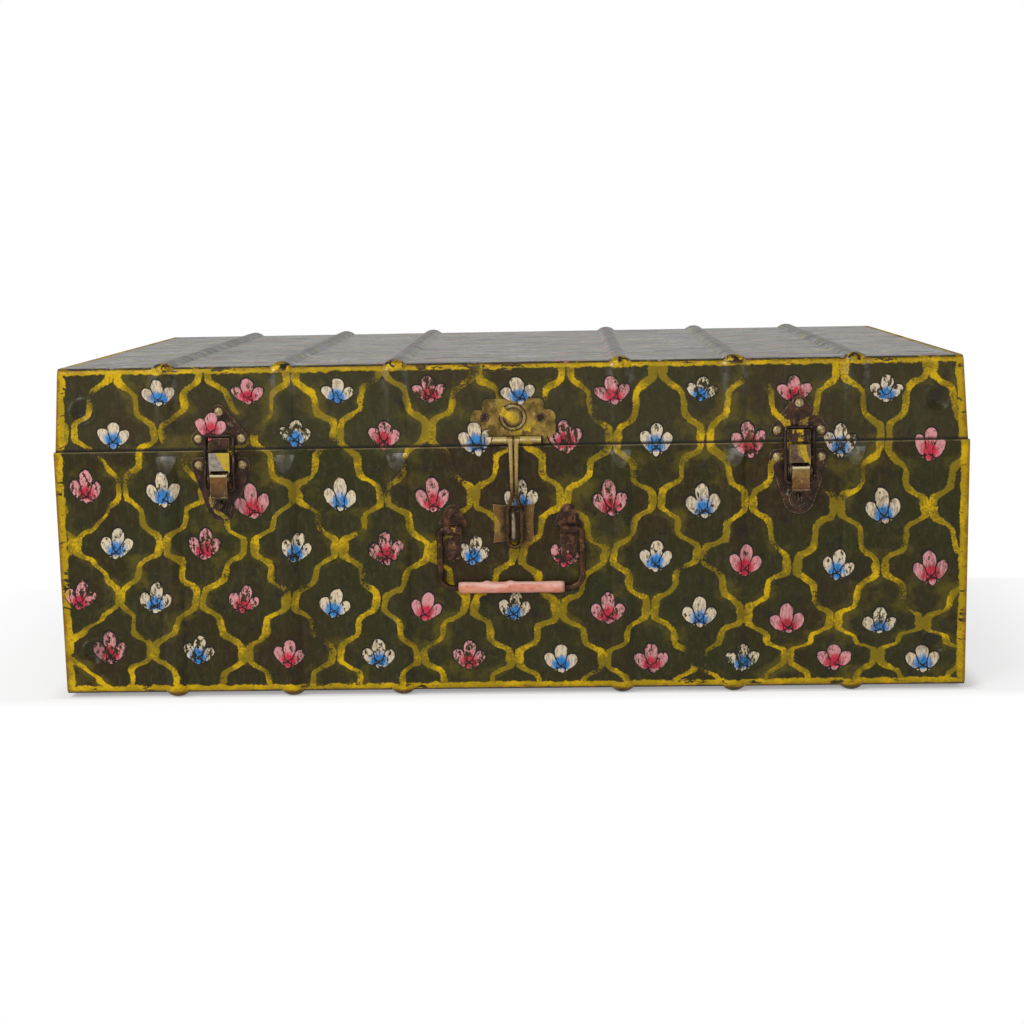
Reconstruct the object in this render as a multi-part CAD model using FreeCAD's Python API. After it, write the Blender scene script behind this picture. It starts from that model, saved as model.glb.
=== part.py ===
import FreeCAD, Part
import math
import os

# Painted steel trunk, in millimetres. X runs to the right, Y to the back and Z up.
# The origin is under the middle of everything, at the level that the ribs stand on.
# Front hardware is placed by x, by u (how far it stands out from the body's front wall) and by z.

os.makedirs("parts", exist_ok=True)

# The case: sheet steel trays, the lid's skirt stepped in from the body's wall
sheet = 0.8
body_width = 662.0
body_depth = 400.0
body_height = 180.8
body_bend = 5.0
lid_step = 1.2
lid_height = 60.7
lid_bend = 4.0
lid_end_lean = 4.7
end_flange = 12.0
seam_gap = 0.1
overrun = 2.0

# The rim collar, a stepped strip that closes the seam from inside
collar_drop = 8.0
collar_rise = 5.5
collar_gap = 0.3

# The pressed ribs that run round both trays from front to back
rib_width = 16.0
rib_height = 3.2
rib_ramp = 13.0
rib_root = 0.4
rib_foot_flat = 0.2
body_rib_end = 3.8
lid_rib_end = 10.0
rib_place_shares = (0.245, 0.492, 0.752)

# Rivets
rivet_shank = 1.5
rivet_head = 3.1
rivet_head_rise = 1.3
rivet_tail = 2.4
rivet_tail_rise = 0.8
rivet_hole_gap = 0.1

# Fits
pin_gap = 0.05
swing_gap = 0.3

# The two toggle latches, each midway between two ribs
latch_place_share = 0.6314
plate = 1.2
keeper_top_rise = 28.2
keeper_top_lobe = 5.0
keeper_low_rise = 8.7
keeper_low_lobe = 5.1
keeper_spread = 15.6
catch_width = 15.0
catch_reach = 4.2
catch_wall = 1.0
catch_foot = 0.8
catch_lip = 0.6
catch_dish = 0.35
base_wing_drop = 10.4
base_wing_lobe = 5.6
base_spread = 15.8
base_tip_drop = 40.8
base_tip_lobe = 11.0
channel_width = 15.0
channel_wall = 1.0
bridge_drop = 1.2
bridge_height = 13.0
bridge_out = 6.5
ear_lobe = 3.3
lever_width = 12.2
lever_wall = 1.0
lever_axle_out = 8.6
lever_axle_drop = 19.3
lever_axle = 1.2
lever_axle_head = 1.9
lever_axle_head_rise = 0.6
lever_face_out = 12.0
lever_back_out = 5.6
lever_top_rise = 3.0
lever_length = 17.1
lever_lip = 1.6
loop_wire = 1.2
loop_width = 23.0
loop_bend = 2.8
loop_end = 4.9
loop_pivot_out = 8.2
loop_pivot_drop = 28.3
loop_bar_out = 2.4
loop_bar_rise = 11.0
lug_ring = 7.0
lug_ring_wall = 1.8
lug_ring_rise = 1.0
lug_thick = 1.6
lug_eye = 1.9
lug_wall = 1.3
lug_drop = 40.2
lug_out = 5.0

# The hasp on the lid and its staple on the body
hasp_place = 3.8
hasp_plate = 1.1
hasp_top_rise = 34.2
hasp_top_half = 22.2
hasp_top_corner = 4.0
hasp_shoulder_rise = 26.2
hasp_shoulder_half = 30.5
hasp_shoulder_corner = 5.0
hasp_tab_half = 28.4
hasp_tab_foot = 1.8
hasp_tab_corner = 3.6
hasp_tab_inner = 21.2
hasp_waist_rise = 12.0
hasp_crest = 5.7
hasp_crest_rise = 31.4
hasp_boss = 9.0
hasp_boss_wall = 1.6
hasp_boss_rise = 1.0
hasp_button = 4.6
hasp_button_rise = 0.6
hasp_boss_lift = 21.0
hasp_rivet_place = 20.5
hasp_rivet_head = 3.6
hasp_rivet_dish = 2.5
hasp_rivet_rise = 0.7
hasp_axle_out = 2.2
hasp_axle_rise = 4.5
hasp_axle = 1.5
hasp_barrel = 2.9
hasp_barrel_half = 20.0
hasp_slot_half = 4.65
hasp_hub_half = 4.25
arm_rod_top = 2.1
arm_rod_neck = 1.5
arm_spread_top = 1.9
arm_spread_neck = 1.35
arm_stand_off = 0.7
arm_lean = 1.6
arm_neck_drop = 41.5
arm_eye_half = 5.0
arm_eye_shoulder_drop = 51.0
arm_eye_foot_drop = 77.3
arm_eye_shoulder_bend = 8.0
staple_place = 3.2
staple_reach = 15.5
staple_rod = 1.5
staple_bend = 4.0
staple_middle_drop = 56.1
staple_height = 21.8
staple_clinch = 5.0
staple_plate_half = 15.2
staple_plate_high = 14.2
staple_plate_thick = 1.3
staple_plate_waist = 1.2
staple_rivet_place = 9.4
staple_rivet_drop = 58.6
staple_rivet_head = 2.7
staple_rivet_rise = 0.8

# The bail handle and its two strap brackets
handle_place = 0.75
bail_half = 51.6
bail_wire = 2.3
bail_top_bend = 3.2
bail_low_bend = 9.0
bail_end = 36.6
bail_pivot_drop = 60.3
bail_length = 42.4
bail_axle_out = 2.8
bail_bar_out = 4.8
grip_half = 38.6
grip_end = 4.4
grip_middle = 4.1
bracket_place = 42.0
bracket_thick = 1.2
bracket_half = 6.3
bracket_top_rise = 12.6
bracket_top_lobe = 5.6
bracket_wing = 8.2
bracket_wing_rise = 4.0
bracket_wing_lobe = 2.0
bracket_foot_drop = 18.8
bracket_foot_lobe = 5.4
bracket_rivet_head = 2.8
bracket_rivet_rise = 0.9

# The two butt hinges at the back, each midway between two ribs
hinge_place_share = 0.6224
hinge_width = 50.0
hinge_leaf = 1.2
hinge_leaf_length = 28.0
hinge_knuckle = 2.8
hinge_axle = 1.3
hinge_axle_out = 3.2
hinge_knuckle_count = 5
hinge_knuckle_gap = 0.2
hinge_rivet_place = 15.0
hinge_rivet_rise = 17.0

# Levels and faces that follow from the sizes above
floor_lift = rib_height - rib_foot_flat
rim = floor_lift + body_height
lid_top = rim + lid_height
body_half = body_width / 2
body_half_depth = body_depth / 2
lid_half = body_half - lid_step
lid_half_depth = body_half_depth - lid_step
lid_slope = lid_end_lean / lid_height
back_reach = hinge_axle_out + hinge_knuckle
middle = (staple_reach - back_reach) / 2
front = middle - body_half_depth
back = middle + body_half_depth
lid_face = -lid_step
rib_radius = (rib_width ** 2 / 4 + rib_height ** 2) / (2 * rib_height)
rib_depth = rib_radius - rib_height
latch_place = latch_place_share * body_half
hinge_place = hinge_place_share * body_half

X = FreeCAD.Vector(1, 0, 0)
OUTWARD = FreeCAD.Vector(0, -1, 0)
BACKWARD = FreeCAD.Vector(0, 1, 0)
UP = FreeCAD.Vector(0, 0, 1)


def at(x, u, z):
    """The point that stands u in front of the body's front wall."""
    return FreeCAD.Vector(x, front - u, z)


def block(x_low, x_high, u_low, u_high, z_low, z_high):
    return Part.makeBox(x_high - x_low, u_high - u_low, z_high - z_low, at(x_low, u_high, z_low))


def room(half_x, half_y, z_low, z_high):
    """A box centred on the case."""
    corner = FreeCAD.Vector(-half_x, middle - half_y, z_low)
    return Part.makeBox(2 * half_x, 2 * half_y, z_high - z_low, corner)


def bar(x_low, x_high, u, z, radius):
    """A round bar along X."""
    return Part.makeCylinder(radius, x_high - x_low, at(x_low, u, z), X)


def stud(x, z, u_low, u_high, radius):
    """A round stud that points out of the front."""
    return Part.makeCylinder(radius, u_high - u_low, at(x, u_low, z), OUTWARD)


def polygon(points):
    return Part.Face(Part.makePolygon(list(points) + [points[0]]))


def fused(shapes):
    first, rest = shapes[0], shapes[1:]
    return first.fuse(rest).removeSplitter() if rest else first


def mirrored(shape):
    """The same piece for the other side of the trunk."""
    return shape.mirror(FreeCAD.Vector(0, 0, 0), X)


def save(name, shape):
    shape.exportStep("parts/" + name + ".step")


def lobed_plate(lobes, u_low, u_high):
    """A plate pulled tight round lobes (x, z, radius), which are listed anticlockwise from the front."""
    count = len(lobes)
    normals = []
    for index in range(count):
        x_a, z_a, r_a = lobes[index]
        x_b, z_b, r_b = lobes[(index + 1) % count]
        span = math.hypot(x_b - x_a, z_b - z_a)
        along = ((x_b - x_a) / span, (z_b - z_a) / span)
        lean = (r_a - r_b) / span
        side = math.sqrt(1 - lean ** 2)
        normals.append((along[0] * lean + along[1] * side, along[1] * lean - along[0] * side))
    edges = []
    for index in range(count):
        x, z, radius = lobes[index]
        enter, leave = normals[index - 1], normals[index]
        half = (enter[0] + leave[0], enter[1] + leave[1])
        size = math.hypot(*half)
        half = (half[0] / size, half[1] / size)
        stops = [at(x + radius * n[0], u_low, z + radius * n[1]) for n in (enter, half, leave)]
        edges.append(Part.Arc(*stops).toShape())
        x_next, z_next, r_next = lobes[(index + 1) % count]
        goal = at(x_next + r_next * leave[0], u_low, z_next + r_next * leave[1])
        edges.append(Part.makeLine(stops[2], goal))
    return Part.Face(Part.Wire(edges)).extrude(OUTWARD * (u_high - u_low))


def bent_wire(points, bends, radius):
    """A round wire along straight runs, with a bend of its own radius at each inner point."""
    edges = []
    start = points[0]
    for index, bend in enumerate(bends, 1):
        corner = points[index]
        before = (points[index - 1] - corner).normalize()
        after = (points[index + 1] - corner).normalize()
        half_turn = (math.pi - before.getAngle(after)) / 2
        reach = bend * math.tan(half_turn)
        inward = (before + after).normalize() * (bend / math.cos(half_turn) - bend)
        edges.append(Part.makeLine(start, corner + before * reach))
        edges.append(Part.Arc(corner + before * reach, corner + inward, corner + after * reach).toShape())
        start = corner + after * reach
    edges.append(Part.makeLine(start, points[-1]))
    section = Part.Wire(Part.Circle(points[0], points[1] - points[0], radius).toShape())
    return Part.Wire(edges).makePipeShell([section], True, False)


def rivet(place, outward, grip, head=rivet_head, rise=rivet_head_rise, dish=0):
    """A rivet whose head sits at a place and whose tail is set behind the sheets that it grips."""
    dome_radius = (head ** 2 + rise ** 2) / (2 * rise)
    low = FreeCAD.Vector(head, 0, 0)
    high = FreeCAD.Vector(0, 0, rise)
    swing = math.asin(head / dome_radius) / 2
    waist = FreeCAD.Vector(dome_radius * math.sin(swing), 0, rise - dome_radius * (1 - math.cos(swing)))
    tail_face, tail_end = -grip, -grip - rivet_tail_rise
    shank = [(rivet_shank, 0), (rivet_shank, tail_face)]
    tail = [(rivet_tail, tail_face), (rivet_tail, tail_end), (0, tail_end)]
    corners = [low] + [FreeCAD.Vector(radius, 0, height) for radius, height in shank + tail] + [high]
    edges = [Part.makeLine(a, b) for a, b in zip(corners, corners[1:])]
    edges.append(Part.Arc(high, waist, low).toShape())
    shape = Part.Face(Part.Wire(edges)).revolve(FreeCAD.Vector(0, 0, 0), UP, 360)
    if dish:
        shape = shape.cut(Part.makeCylinder(dish, rise, FreeCAD.Vector(0, 0, rise / 4)))
    shape.Placement = FreeCAD.Placement(place, FreeCAD.Rotation(UP, outward))
    return shape


def rivet_hole(place, outward, grip):
    start = place + outward * overrun
    return Part.makeCylinder(rivet_shank + rivet_hole_gap, grip + 2 * overrun, start, outward * -1)


# Places of the rivets, as (x, u, z) of the plate's outer face, for one side of the trunk
keeper_rivet_places = [
    (0, keeper_top_rise),
    (-keeper_spread, keeper_low_rise),
    (keeper_spread, keeper_low_rise),
]
base_rivet_places = [(-base_spread, -base_wing_drop), (base_spread, -base_wing_drop)]
bail_pivot = rim - bail_pivot_drop
bracket_rivet_places = [
    (bracket_place, bail_pivot + bracket_top_rise),
    (bracket_place, bail_pivot - bracket_foot_drop),
]


def front_rivets(points, face, thickness):
    """Where rivets go through a plate on the front, as (head place, direction, grip)."""
    return [(at(x, face + thickness, z), OUTWARD, thickness + sheet) for x, z in points]


def keeper_rivet_list(side):
    points = [(side * latch_place + x, rim + z) for x, z in keeper_rivet_places]
    return front_rivets(points, lid_face, plate)


def base_rivet_list(side):
    points = [(side * latch_place + x, rim + z) for x, z in base_rivet_places]
    return front_rivets(points, 0, plate)


def bracket_rivet_list():
    points = [(handle_place + side * x, z) for side in (-1, 1) for x, z in bracket_rivet_places]
    return front_rivets(points, 0, bracket_thick)


def staple_rivet_list():
    points = [(staple_place + side * staple_rivet_place, rim - staple_rivet_drop) for side in (-1, 1)]
    return front_rivets(points, 0, staple_plate_thick)


def hasp_rivet_list():
    points = [(hasp_place + side * hasp_rivet_place, rim + hasp_boss_lift) for side in (-1, 1)]
    return front_rivets(points, lid_face, hasp_plate)


def hinge_rivet_list(face, level):
    head_y, grip = back + face + hinge_leaf, hinge_leaf + sheet
    return [
        (FreeCAD.Vector(side * hinge_place + x, head_y, level), BACKWARD, grip)
        for side in (-1, 1)
        for x in (-hinge_rivet_place, hinge_rivet_place)
    ]


def drilled(shape, rivet_places):
    holes = [rivet_hole(*entry) for entry in rivet_places]
    return shape.cut(holes)


# The case
def tray(half_depth, half_width, open_level, closed_level, bend):
    """A solid with two rounded long edges at its closed level, the space that a bent sheet wraps."""
    away = 1 if open_level > closed_level else -1
    low, high = middle - half_depth, middle + half_depth
    bend_level = closed_level + away * bend
    tilt = bend * (1 - math.sqrt(0.5))
    tilt_level = closed_level + away * tilt

    def point(y, z):
        return FreeCAD.Vector(-half_width, y, z)

    corner_low = Part.Arc(
        point(low, bend_level), point(low + tilt, tilt_level), point(low + bend, closed_level)
    )
    corner_high = Part.Arc(
        point(high - bend, closed_level), point(high - tilt, tilt_level), point(high, bend_level)
    )
    edges = [
        Part.makeLine(point(low, open_level), point(low, bend_level)),
        corner_low.toShape(),
        Part.makeLine(point(low + bend, closed_level), point(high - bend, closed_level)),
        corner_high.toShape(),
        Part.makeLine(point(high, bend_level), point(high, open_level)),
        Part.makeLine(point(high, open_level), point(low, open_level)),
    ]
    return Part.Face(Part.Wire(edges)).extrude(X * (2 * half_width))


def rib_section(base, normal, skin):
    """The round-backed section of a rib that stands on a sheet, or of the hollow under its skin."""
    radius = rib_radius - skin
    root = rib_root + skin
    half = math.sqrt(radius ** 2 - (rib_depth - root) ** 2)
    left = base - X * half - normal * root
    right = base + X * half - normal * root
    crown = base + normal * (rib_height - skin)
    return Part.Face(Part.Wire([Part.Arc(left, crown, right).toShape(), Part.makeLine(right, left)]))


def rib(x, half_depth, end_level, closed_level, bend, skin):
    """One rib: up the front, round the bend and along the closed side, then the same again to the back."""
    away = 1 if end_level > closed_level else -1
    face_y = middle - half_depth
    bend_level = closed_level + away * bend
    foot = FreeCAD.Vector(x, face_y, bend_level)
    upright = rib_section(foot, OUTWARD, skin).extrude(UP * (end_level - bend_level))
    turning_line = FreeCAD.Vector(x, face_y + bend, bend_level)
    corner = rib_section(foot, OUTWARD, skin).revolve(turning_line, X, 90 * away)
    along = FreeCAD.Vector(x, face_y + bend, closed_level)
    level = rib_section(along, UP * -away, skin).extrude(BACKWARD * (half_depth - bend))

    slope = rib_ramp / rib_height
    fade = end_level - away * skin * math.hypot(1, slope)
    beyond = end_level + away * (rib_ramp + overrun)
    inner, outer = -rib_root - sheet, rib_height + overrun
    wedge_points = [
        FreeCAD.Vector(x - rib_width, face_y - inner, fade - away * slope * inner),
        FreeCAD.Vector(x - rib_width, face_y - outer, fade - away * slope * outer),
        FreeCAD.Vector(x - rib_width, face_y - outer, beyond),
        FreeCAD.Vector(x - rib_width, face_y - inner, beyond),
    ]
    wedge = polygon(wedge_points).extrude(X * (2 * rib_width))
    half_rib = upright.cut(wedge).fuse([corner, level])
    other_half = half_rib.mirror(FreeCAD.Vector(0, middle, 0), BACKWARD)
    return half_rib.fuse(other_half).removeSplitter()


def ribs(half_depth, end_level, closed_level, bend, skin):
    places = [side * share * body_half for share in rib_place_shares for side in (-1, 1)]
    return [rib(x, half_depth, end_level, closed_level, bend, skin) for x in places]


def ribbed_wrap(half_depth, half_width, open_level, closed_level, bend, end_level):
    """The one sheet that makes the front, the closed side and the back, with its pressed ribs."""
    away = 1 if open_level > closed_level else -1
    outside = tray(half_depth, half_width, open_level, closed_level, bend)
    open_end, closed_end = open_level + away * overrun, closed_level + away * sheet
    inside = tray(half_depth - sheet, half_width + overrun, open_end, closed_end, bend - sheet)
    wrap = outside.cut(inside).fuse(ribs(half_depth, end_level, closed_level, bend, 0))
    return wrap.cut(ribs(half_depth, end_level, closed_level, bend, sheet)).removeSplitter()


def lid_space(inset):
    """The space between the lid's two leaning end panels, this far inside their outer faces."""
    low, high = rim - overrun, lid_top + overrun
    half_low = lid_half - inset + lid_slope * overrun
    half_high = lid_half - inset - lid_slope * (lid_height + overrun)
    start = front - overrun
    points = [
        FreeCAD.Vector(x, start, z)
        for x, z in ((-half_low, low), (half_low, low), (half_high, high), (-half_high, high))
    ]
    return polygon(points).extrude(BACKWARD * (body_depth + 2 * overrun))


def staple_leg_levels():
    level = rim - staple_middle_drop
    reach = staple_height / 2 - staple_rod
    return level - reach, level + reach


def staple_holes(u_low, u_high):
    radius = staple_rod + rivet_hole_gap
    return [stud(staple_place, level, u_low, u_high, radius) for level in staple_leg_levels()]


def body_wrap():
    wrap = ribbed_wrap(body_half_depth, body_half, rim, floor_lift, body_bend, rim - body_rib_end)
    wrap = wrap.cut(room(body_half, body_half_depth, floor_lift - rib_height - overrun, 0))
    places = base_rivet_list(-1) + base_rivet_list(1) + bracket_rivet_list() + staple_rivet_list()
    places += hinge_rivet_list(0, rim - hinge_rivet_rise)
    return drilled(wrap, places).cut(staple_holes(-sheet - overrun, overrun))


def lid_wrap():
    wrap = ribbed_wrap(lid_half_depth, lid_half, rim, lid_top, lid_bend, rim + lid_rib_end)
    wrap = wrap.common(lid_space(0).fuse(ribs_beside_lid()))
    places = keeper_rivet_list(-1) + keeper_rivet_list(1) + hasp_rivet_list()
    places += hinge_rivet_list(lid_face, rim + hinge_rivet_rise)
    return drilled(wrap, places)


def ribs_beside_lid():
    """Room for the ribs, which stand clear of the leaning ends."""
    half = rib_place_shares[-1] * body_half + rib_width
    return room(half, body_half_depth + rib_height, rim - overrun, lid_top + rib_height + overrun)


def body_end():
    """The right end panel, its flanges folded in under the wrap."""
    gap = sheet + seam_gap
    outside = tray(body_half_depth - gap, body_half, rim, floor_lift + gap, body_bend - gap)
    deep, wide = gap + sheet, body_half - sheet
    inside = tray(body_half_depth - deep, wide, rim + overrun, floor_lift + deep, body_bend - deep)
    panel = outside.cut(inside)
    panel = panel.cut(room(body_half - end_flange, body_depth, 0, rim + overrun))
    notch_level = rim - collar_drop - collar_gap
    panel = panel.cut(room(wide, body_depth, notch_level, rim + overrun))
    return panel.common(block(0, body_width, -body_depth - overrun, overrun, 0, rim))


def lid_end():
    """The lid's right end panel, leaning in, its flanges folded in under the wrap."""
    gap = sheet + seam_gap
    outside = tray(lid_half_depth - gap, lid_half, rim, lid_top - gap, lid_bend - gap).common(lid_space(0))
    deep = gap + sheet
    inside = tray(lid_half_depth - deep, lid_half, rim - overrun, lid_top - deep, lid_bend - deep)
    panel = outside.cut(inside.common(lid_space(sheet)))
    between_flanges = lid_half - lid_end_lean - end_flange
    panel = panel.cut(room(between_flanges, body_depth, rim - overrun, lid_top + overrun))
    low_room = room(lid_half, body_depth, rim - overrun, rim + collar_rise + collar_gap)
    panel = panel.cut(lid_space(sheet).common(low_room))
    return panel.common(block(0, body_width, -body_depth - overrun, overrun, rim, lid_top))


def rim_collar():
    """A stepped strip: a band inside the body's wall, a ledge for the lid's edge, a band inside the lid."""
    low_half = body_half - sheet - seam_gap
    low_depth = body_half_depth - sheet - seam_gap
    high_half = lid_half - sheet - lid_slope * collar_rise - collar_gap
    high_depth = lid_half_depth - sheet - collar_gap
    low_band = room(low_half, low_depth, rim - collar_drop, rim)
    high_band = room(high_half, high_depth, rim - sheet, rim + collar_rise)
    low, high = rim - collar_drop - overrun, rim + collar_rise + overrun
    mouth = room(high_half - sheet, high_depth - sheet, low, high)
    below_ledge = room(low_half - sheet, low_depth - sheet, low, rim - sheet)
    return low_band.fuse(high_band).cut([mouth, below_ledge]).removeSplitter()


# The latches, built at x = 0
def keeper():
    """The lid's plate with its folded catch. The catch's top is dished, so the loop's bar sits in it."""
    face = lid_face + plate
    lobes = [
        (-keeper_spread, rim + keeper_low_rise, keeper_low_lobe),
        (keeper_spread, rim + keeper_low_rise, keeper_low_lobe),
        (0, rim + keeper_top_rise, keeper_top_lobe),
    ]
    shield = lobed_plate(lobes, lid_face, face)
    bar_foot = rim + loop_bar_rise - loop_wire
    lip_level = bar_foot - catch_dish
    dish_level = lip_level - catch_dish
    half = catch_width / 2
    out = face + catch_reach
    catch = block(-half, half, face, out, rim + catch_foot, lip_level)
    inner = half - catch_wall
    hollow = block(-inner, inner, face, out - catch_wall, rim, dish_level - catch_wall)
    dish = block(-half - overrun, half + overrun, face, out - catch_lip, dish_level, lip_level + overrun)
    piece = shield.fuse(catch.cut([hollow, dish])).removeSplitter()
    holes = [rivet_hole(at(x, face, rim + z), OUTWARD, plate + sheet) for x, z in keeper_rivet_places]
    return piece.cut(holes)


def ear_profile(u_low):
    """The side view of one ear, from the plate out to a round end about the lever's axle."""
    axle_level = rim - lever_axle_drop
    start = -channel_width / 2
    ear_foot, ear_head = axle_level - ear_lobe, axle_level + ear_lobe
    tab = block(start, start + channel_wall, u_low, lever_axle_out, ear_foot, ear_head)
    end = bar(start, start + channel_wall, lever_axle_out, axle_level, ear_lobe)
    high = rim - bridge_drop
    cheek = block(start, start + channel_wall, u_low, bridge_out, axle_level, high)
    return tab.fuse([end, cheek]).removeSplitter()


def latch_base():
    """The body's plate: a raised channel whose ears carry the lever, and a lug for a padlock below."""
    lobes = [
        (-base_spread, rim - base_wing_drop, base_wing_lobe),
        (0, rim - base_tip_drop, base_tip_lobe),
        (base_spread, rim - base_wing_drop, base_wing_lobe),
    ]
    shield = lobed_plate(lobes, 0, plate)
    high = rim - bridge_drop
    half = channel_width / 2
    web = block(-half, half, bridge_out - channel_wall, bridge_out, high - bridge_height, high)
    ear = ear_profile(0)
    upper_lobe = block(-half, half, 0, plate, rim - base_wing_drop, high)
    tip = rim - base_tip_drop
    ring = stud(0, tip, 0, plate + lug_ring_rise, lug_ring).cut(
        stud(0, tip, plate, plate + lug_ring_rise + overrun, lug_ring - lug_ring_wall)
    )
    level = rim - lug_drop
    lug_half = lug_thick / 2
    lug_round = lug_eye + lug_wall
    lug = bar(-lug_half, lug_half, lug_out, level, lug_round).fuse(
        block(-lug_half, lug_half, 0, lug_out, level - lug_round, level + lug_round)
    )
    piece = fused([shield, web, ear, mirrored(ear), upper_lobe, ring, lug])
    axle_level = rim - lever_axle_drop
    axle_hole = bar(-channel_width, channel_width, lever_axle_out, axle_level, lever_axle + pin_gap)
    eye = bar(-lug_thick, lug_thick, lug_out, level, lug_eye)
    holes = [rivet_hole(at(x, plate, rim + z), OUTWARD, plate + sheet) for x, z in base_rivet_places]
    return piece.cut([axle_hole, eye] + holes)


def lever_pin():
    """The axle through both ears, with a set head at each end."""
    level = rim - lever_axle_drop
    half = channel_width / 2
    far = half + pin_gap + lever_axle_head_rise
    axle = bar(-far, far, lever_axle_out, level, lever_axle)
    heads = [
        bar(half + pin_gap, far, lever_axle_out, level, lever_axle_head),
        bar(-far, -half - pin_gap, lever_axle_out, level, lever_axle_head),
    ]
    return fused([axle] + heads)


def latch_lever():
    """A folded channel, open towards the body, with a turned-out lip to lift it by."""
    half = lever_width / 2
    top = rim - lever_axle_drop + lever_top_rise
    foot = top - lever_length
    outer = block(-half, half, lever_back_out, lever_face_out, foot, top)
    inside, back_out, face_out = half - lever_wall, lever_back_out - overrun, lever_face_out - lever_wall
    inner = block(-inside, inside, back_out, face_out, foot - overrun, top + overrun)
    lip = block(-half, half, face_out, lever_face_out + lever_lip, foot, foot + lever_wall)
    piece = outer.cut(inner).fuse(lip).removeSplitter()
    wide = lever_width
    axle_hole = bar(-wide, wide, lever_axle_out, rim - lever_axle_drop, lever_axle + pin_gap)
    wire_hole = bar(-wide, wide, loop_pivot_out, rim - loop_pivot_drop, loop_wire + pin_gap)
    return piece.cut([axle_hole, wire_hole])


def latch_loop():
    """One bent wire: its ends turn into the lever, and its bar reaches over the catch."""
    leg = loop_width / 2 - loop_wire
    low = (loop_pivot_out, rim - loop_pivot_drop)
    high = (loop_bar_out, rim + loop_bar_rise)
    left_half = [at(-loop_end, *low), at(-leg, *low), at(-leg, *high)]
    right_half = [at(leg, *high), at(leg, *low), at(loop_end, *low)]
    points = left_half + right_half
    return bent_wire(points, [loop_bend] * 4, loop_wire)


# The hasp
def rounded_plate(half, z_low, z_high, corner, u_low, u_high):
    lobes = [
        (hasp_place - half + corner, z_low + corner, corner),
        (hasp_place + half - corner, z_low + corner, corner),
        (hasp_place + half - corner, z_high - corner, corner),
        (hasp_place - half + corner, z_high - corner, corner),
    ]
    return lobed_plate(lobes, u_low, u_high)


def hasp_plate_piece():
    """The lid's hasp plate: shoulders, two lower tabs, a ringed boss and two rolled barrels."""
    low, high = lid_face, lid_face + hasp_plate
    axle_level = rim + hasp_axle_rise
    waist = rim + hasp_waist_rise
    corner = hasp_shoulder_corner
    shoulders = rounded_plate(
        hasp_shoulder_half, waist - corner, rim + hasp_shoulder_rise, corner, low, high
    )
    crown = rounded_plate(hasp_top_half, waist, rim + hasp_top_rise, hasp_top_corner, low, high)
    corner = hasp_tab_corner
    tabs = rounded_plate(hasp_tab_half, rim + hasp_tab_foot, waist + corner, corner, low, high)
    crest = stud(hasp_place, rim + hasp_crest_rise, low, high, hasp_crest)
    inner, reach, lip = hasp_tab_inner, hasp_barrel_half, axle_level + hasp_barrel
    u_span = (low - overrun, high + overrun)
    under_barrels = block(hasp_place - inner, hasp_place + inner, *u_span, rim, axle_level)
    notches = block(hasp_place - inner, hasp_place + inner, *u_span, rim, lip).cut(
        block(hasp_place - reach, hasp_place + reach, *u_span, rim, lip)
    )
    sheet_part = fused([shoulders, crown, tabs, crest]).cut([under_barrels, notches])
    boss_level = rim + hasp_boss_lift
    ring = stud(hasp_place, boss_level, low, high + hasp_boss_rise, hasp_boss).cut(
        stud(hasp_place, boss_level, high, high + hasp_boss_rise + overrun, hasp_boss - hasp_boss_wall)
    )
    button = stud(hasp_place, boss_level, low, high + hasp_button_rise, hasp_button)
    barrel = bar(hasp_place - reach, hasp_place + reach, hasp_axle_out, axle_level, hasp_barrel)
    slot_half, slot_top = hasp_slot_half, lip + swing_gap
    slot_out = hasp_axle_out + hasp_barrel + overrun
    slot = block(hasp_place - slot_half, hasp_place + slot_half, low - overrun, slot_out, rim, slot_top)
    wide = hasp_shoulder_half
    bore = bar(hasp_place - wide, hasp_place + wide, hasp_axle_out, axle_level, hasp_axle + pin_gap)
    piece = fused([sheet_part, ring, button, barrel]).cut([slot, bore])
    return drilled(piece, hasp_rivet_list())


def hasp_pin():
    half = hasp_barrel_half
    return bar(hasp_place - half, hasp_place + half, hasp_axle_out, rim + hasp_axle_rise, hasp_axle)


def arm_point(x, drop):
    """A point on the arm's middle plane, which leans out a little on its way down."""
    lean = arm_lean * drop / arm_eye_foot_drop
    return at(hasp_place + x, hasp_axle_out + arm_stand_off + lean, rim + hasp_axle_rise - drop)


def hasp_arm():
    """Two rods drawn together at a neck, then opened into a long eye."""
    rods = []
    for side in (-1, 1):
        top = arm_point(side * arm_spread_top, 0)
        neck = arm_point(side * arm_spread_neck, arm_neck_drop)
        along = neck - top
        ends = [
            Part.Wire(Part.Circle(place, along, radius).toShape())
            for place, radius in ((top, arm_rod_top), (neck, arm_rod_neck))
        ]
        rods.append(Part.makeLoft(ends, True, True))
    half = arm_eye_half
    points = [
        arm_point(arm_spread_neck, arm_neck_drop - arm_rod_neck),
        arm_point(half, arm_eye_shoulder_drop),
        arm_point(half, arm_eye_foot_drop),
        arm_point(-half, arm_eye_foot_drop),
        arm_point(-half, arm_eye_shoulder_drop),
        arm_point(-arm_spread_neck, arm_neck_drop - arm_rod_neck),
    ]
    foot_bend = half - seam_gap
    bends = [arm_eye_shoulder_bend, foot_bend, foot_bend, arm_eye_shoulder_bend]
    eye = bent_wire(points, bends, arm_rod_neck)
    axle_level = rim + hasp_axle_rise
    hub_half = hasp_hub_half
    hub = bar(hasp_place - hub_half, hasp_place + hub_half, hasp_axle_out, axle_level, hasp_barrel)
    reach = hasp_barrel_half
    bore = bar(hasp_place - reach, hasp_place + reach, hasp_axle_out, axle_level, hasp_axle + pin_gap)
    return fused([hub, rods[0], rods[1], eye]).cut(bore)


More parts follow.
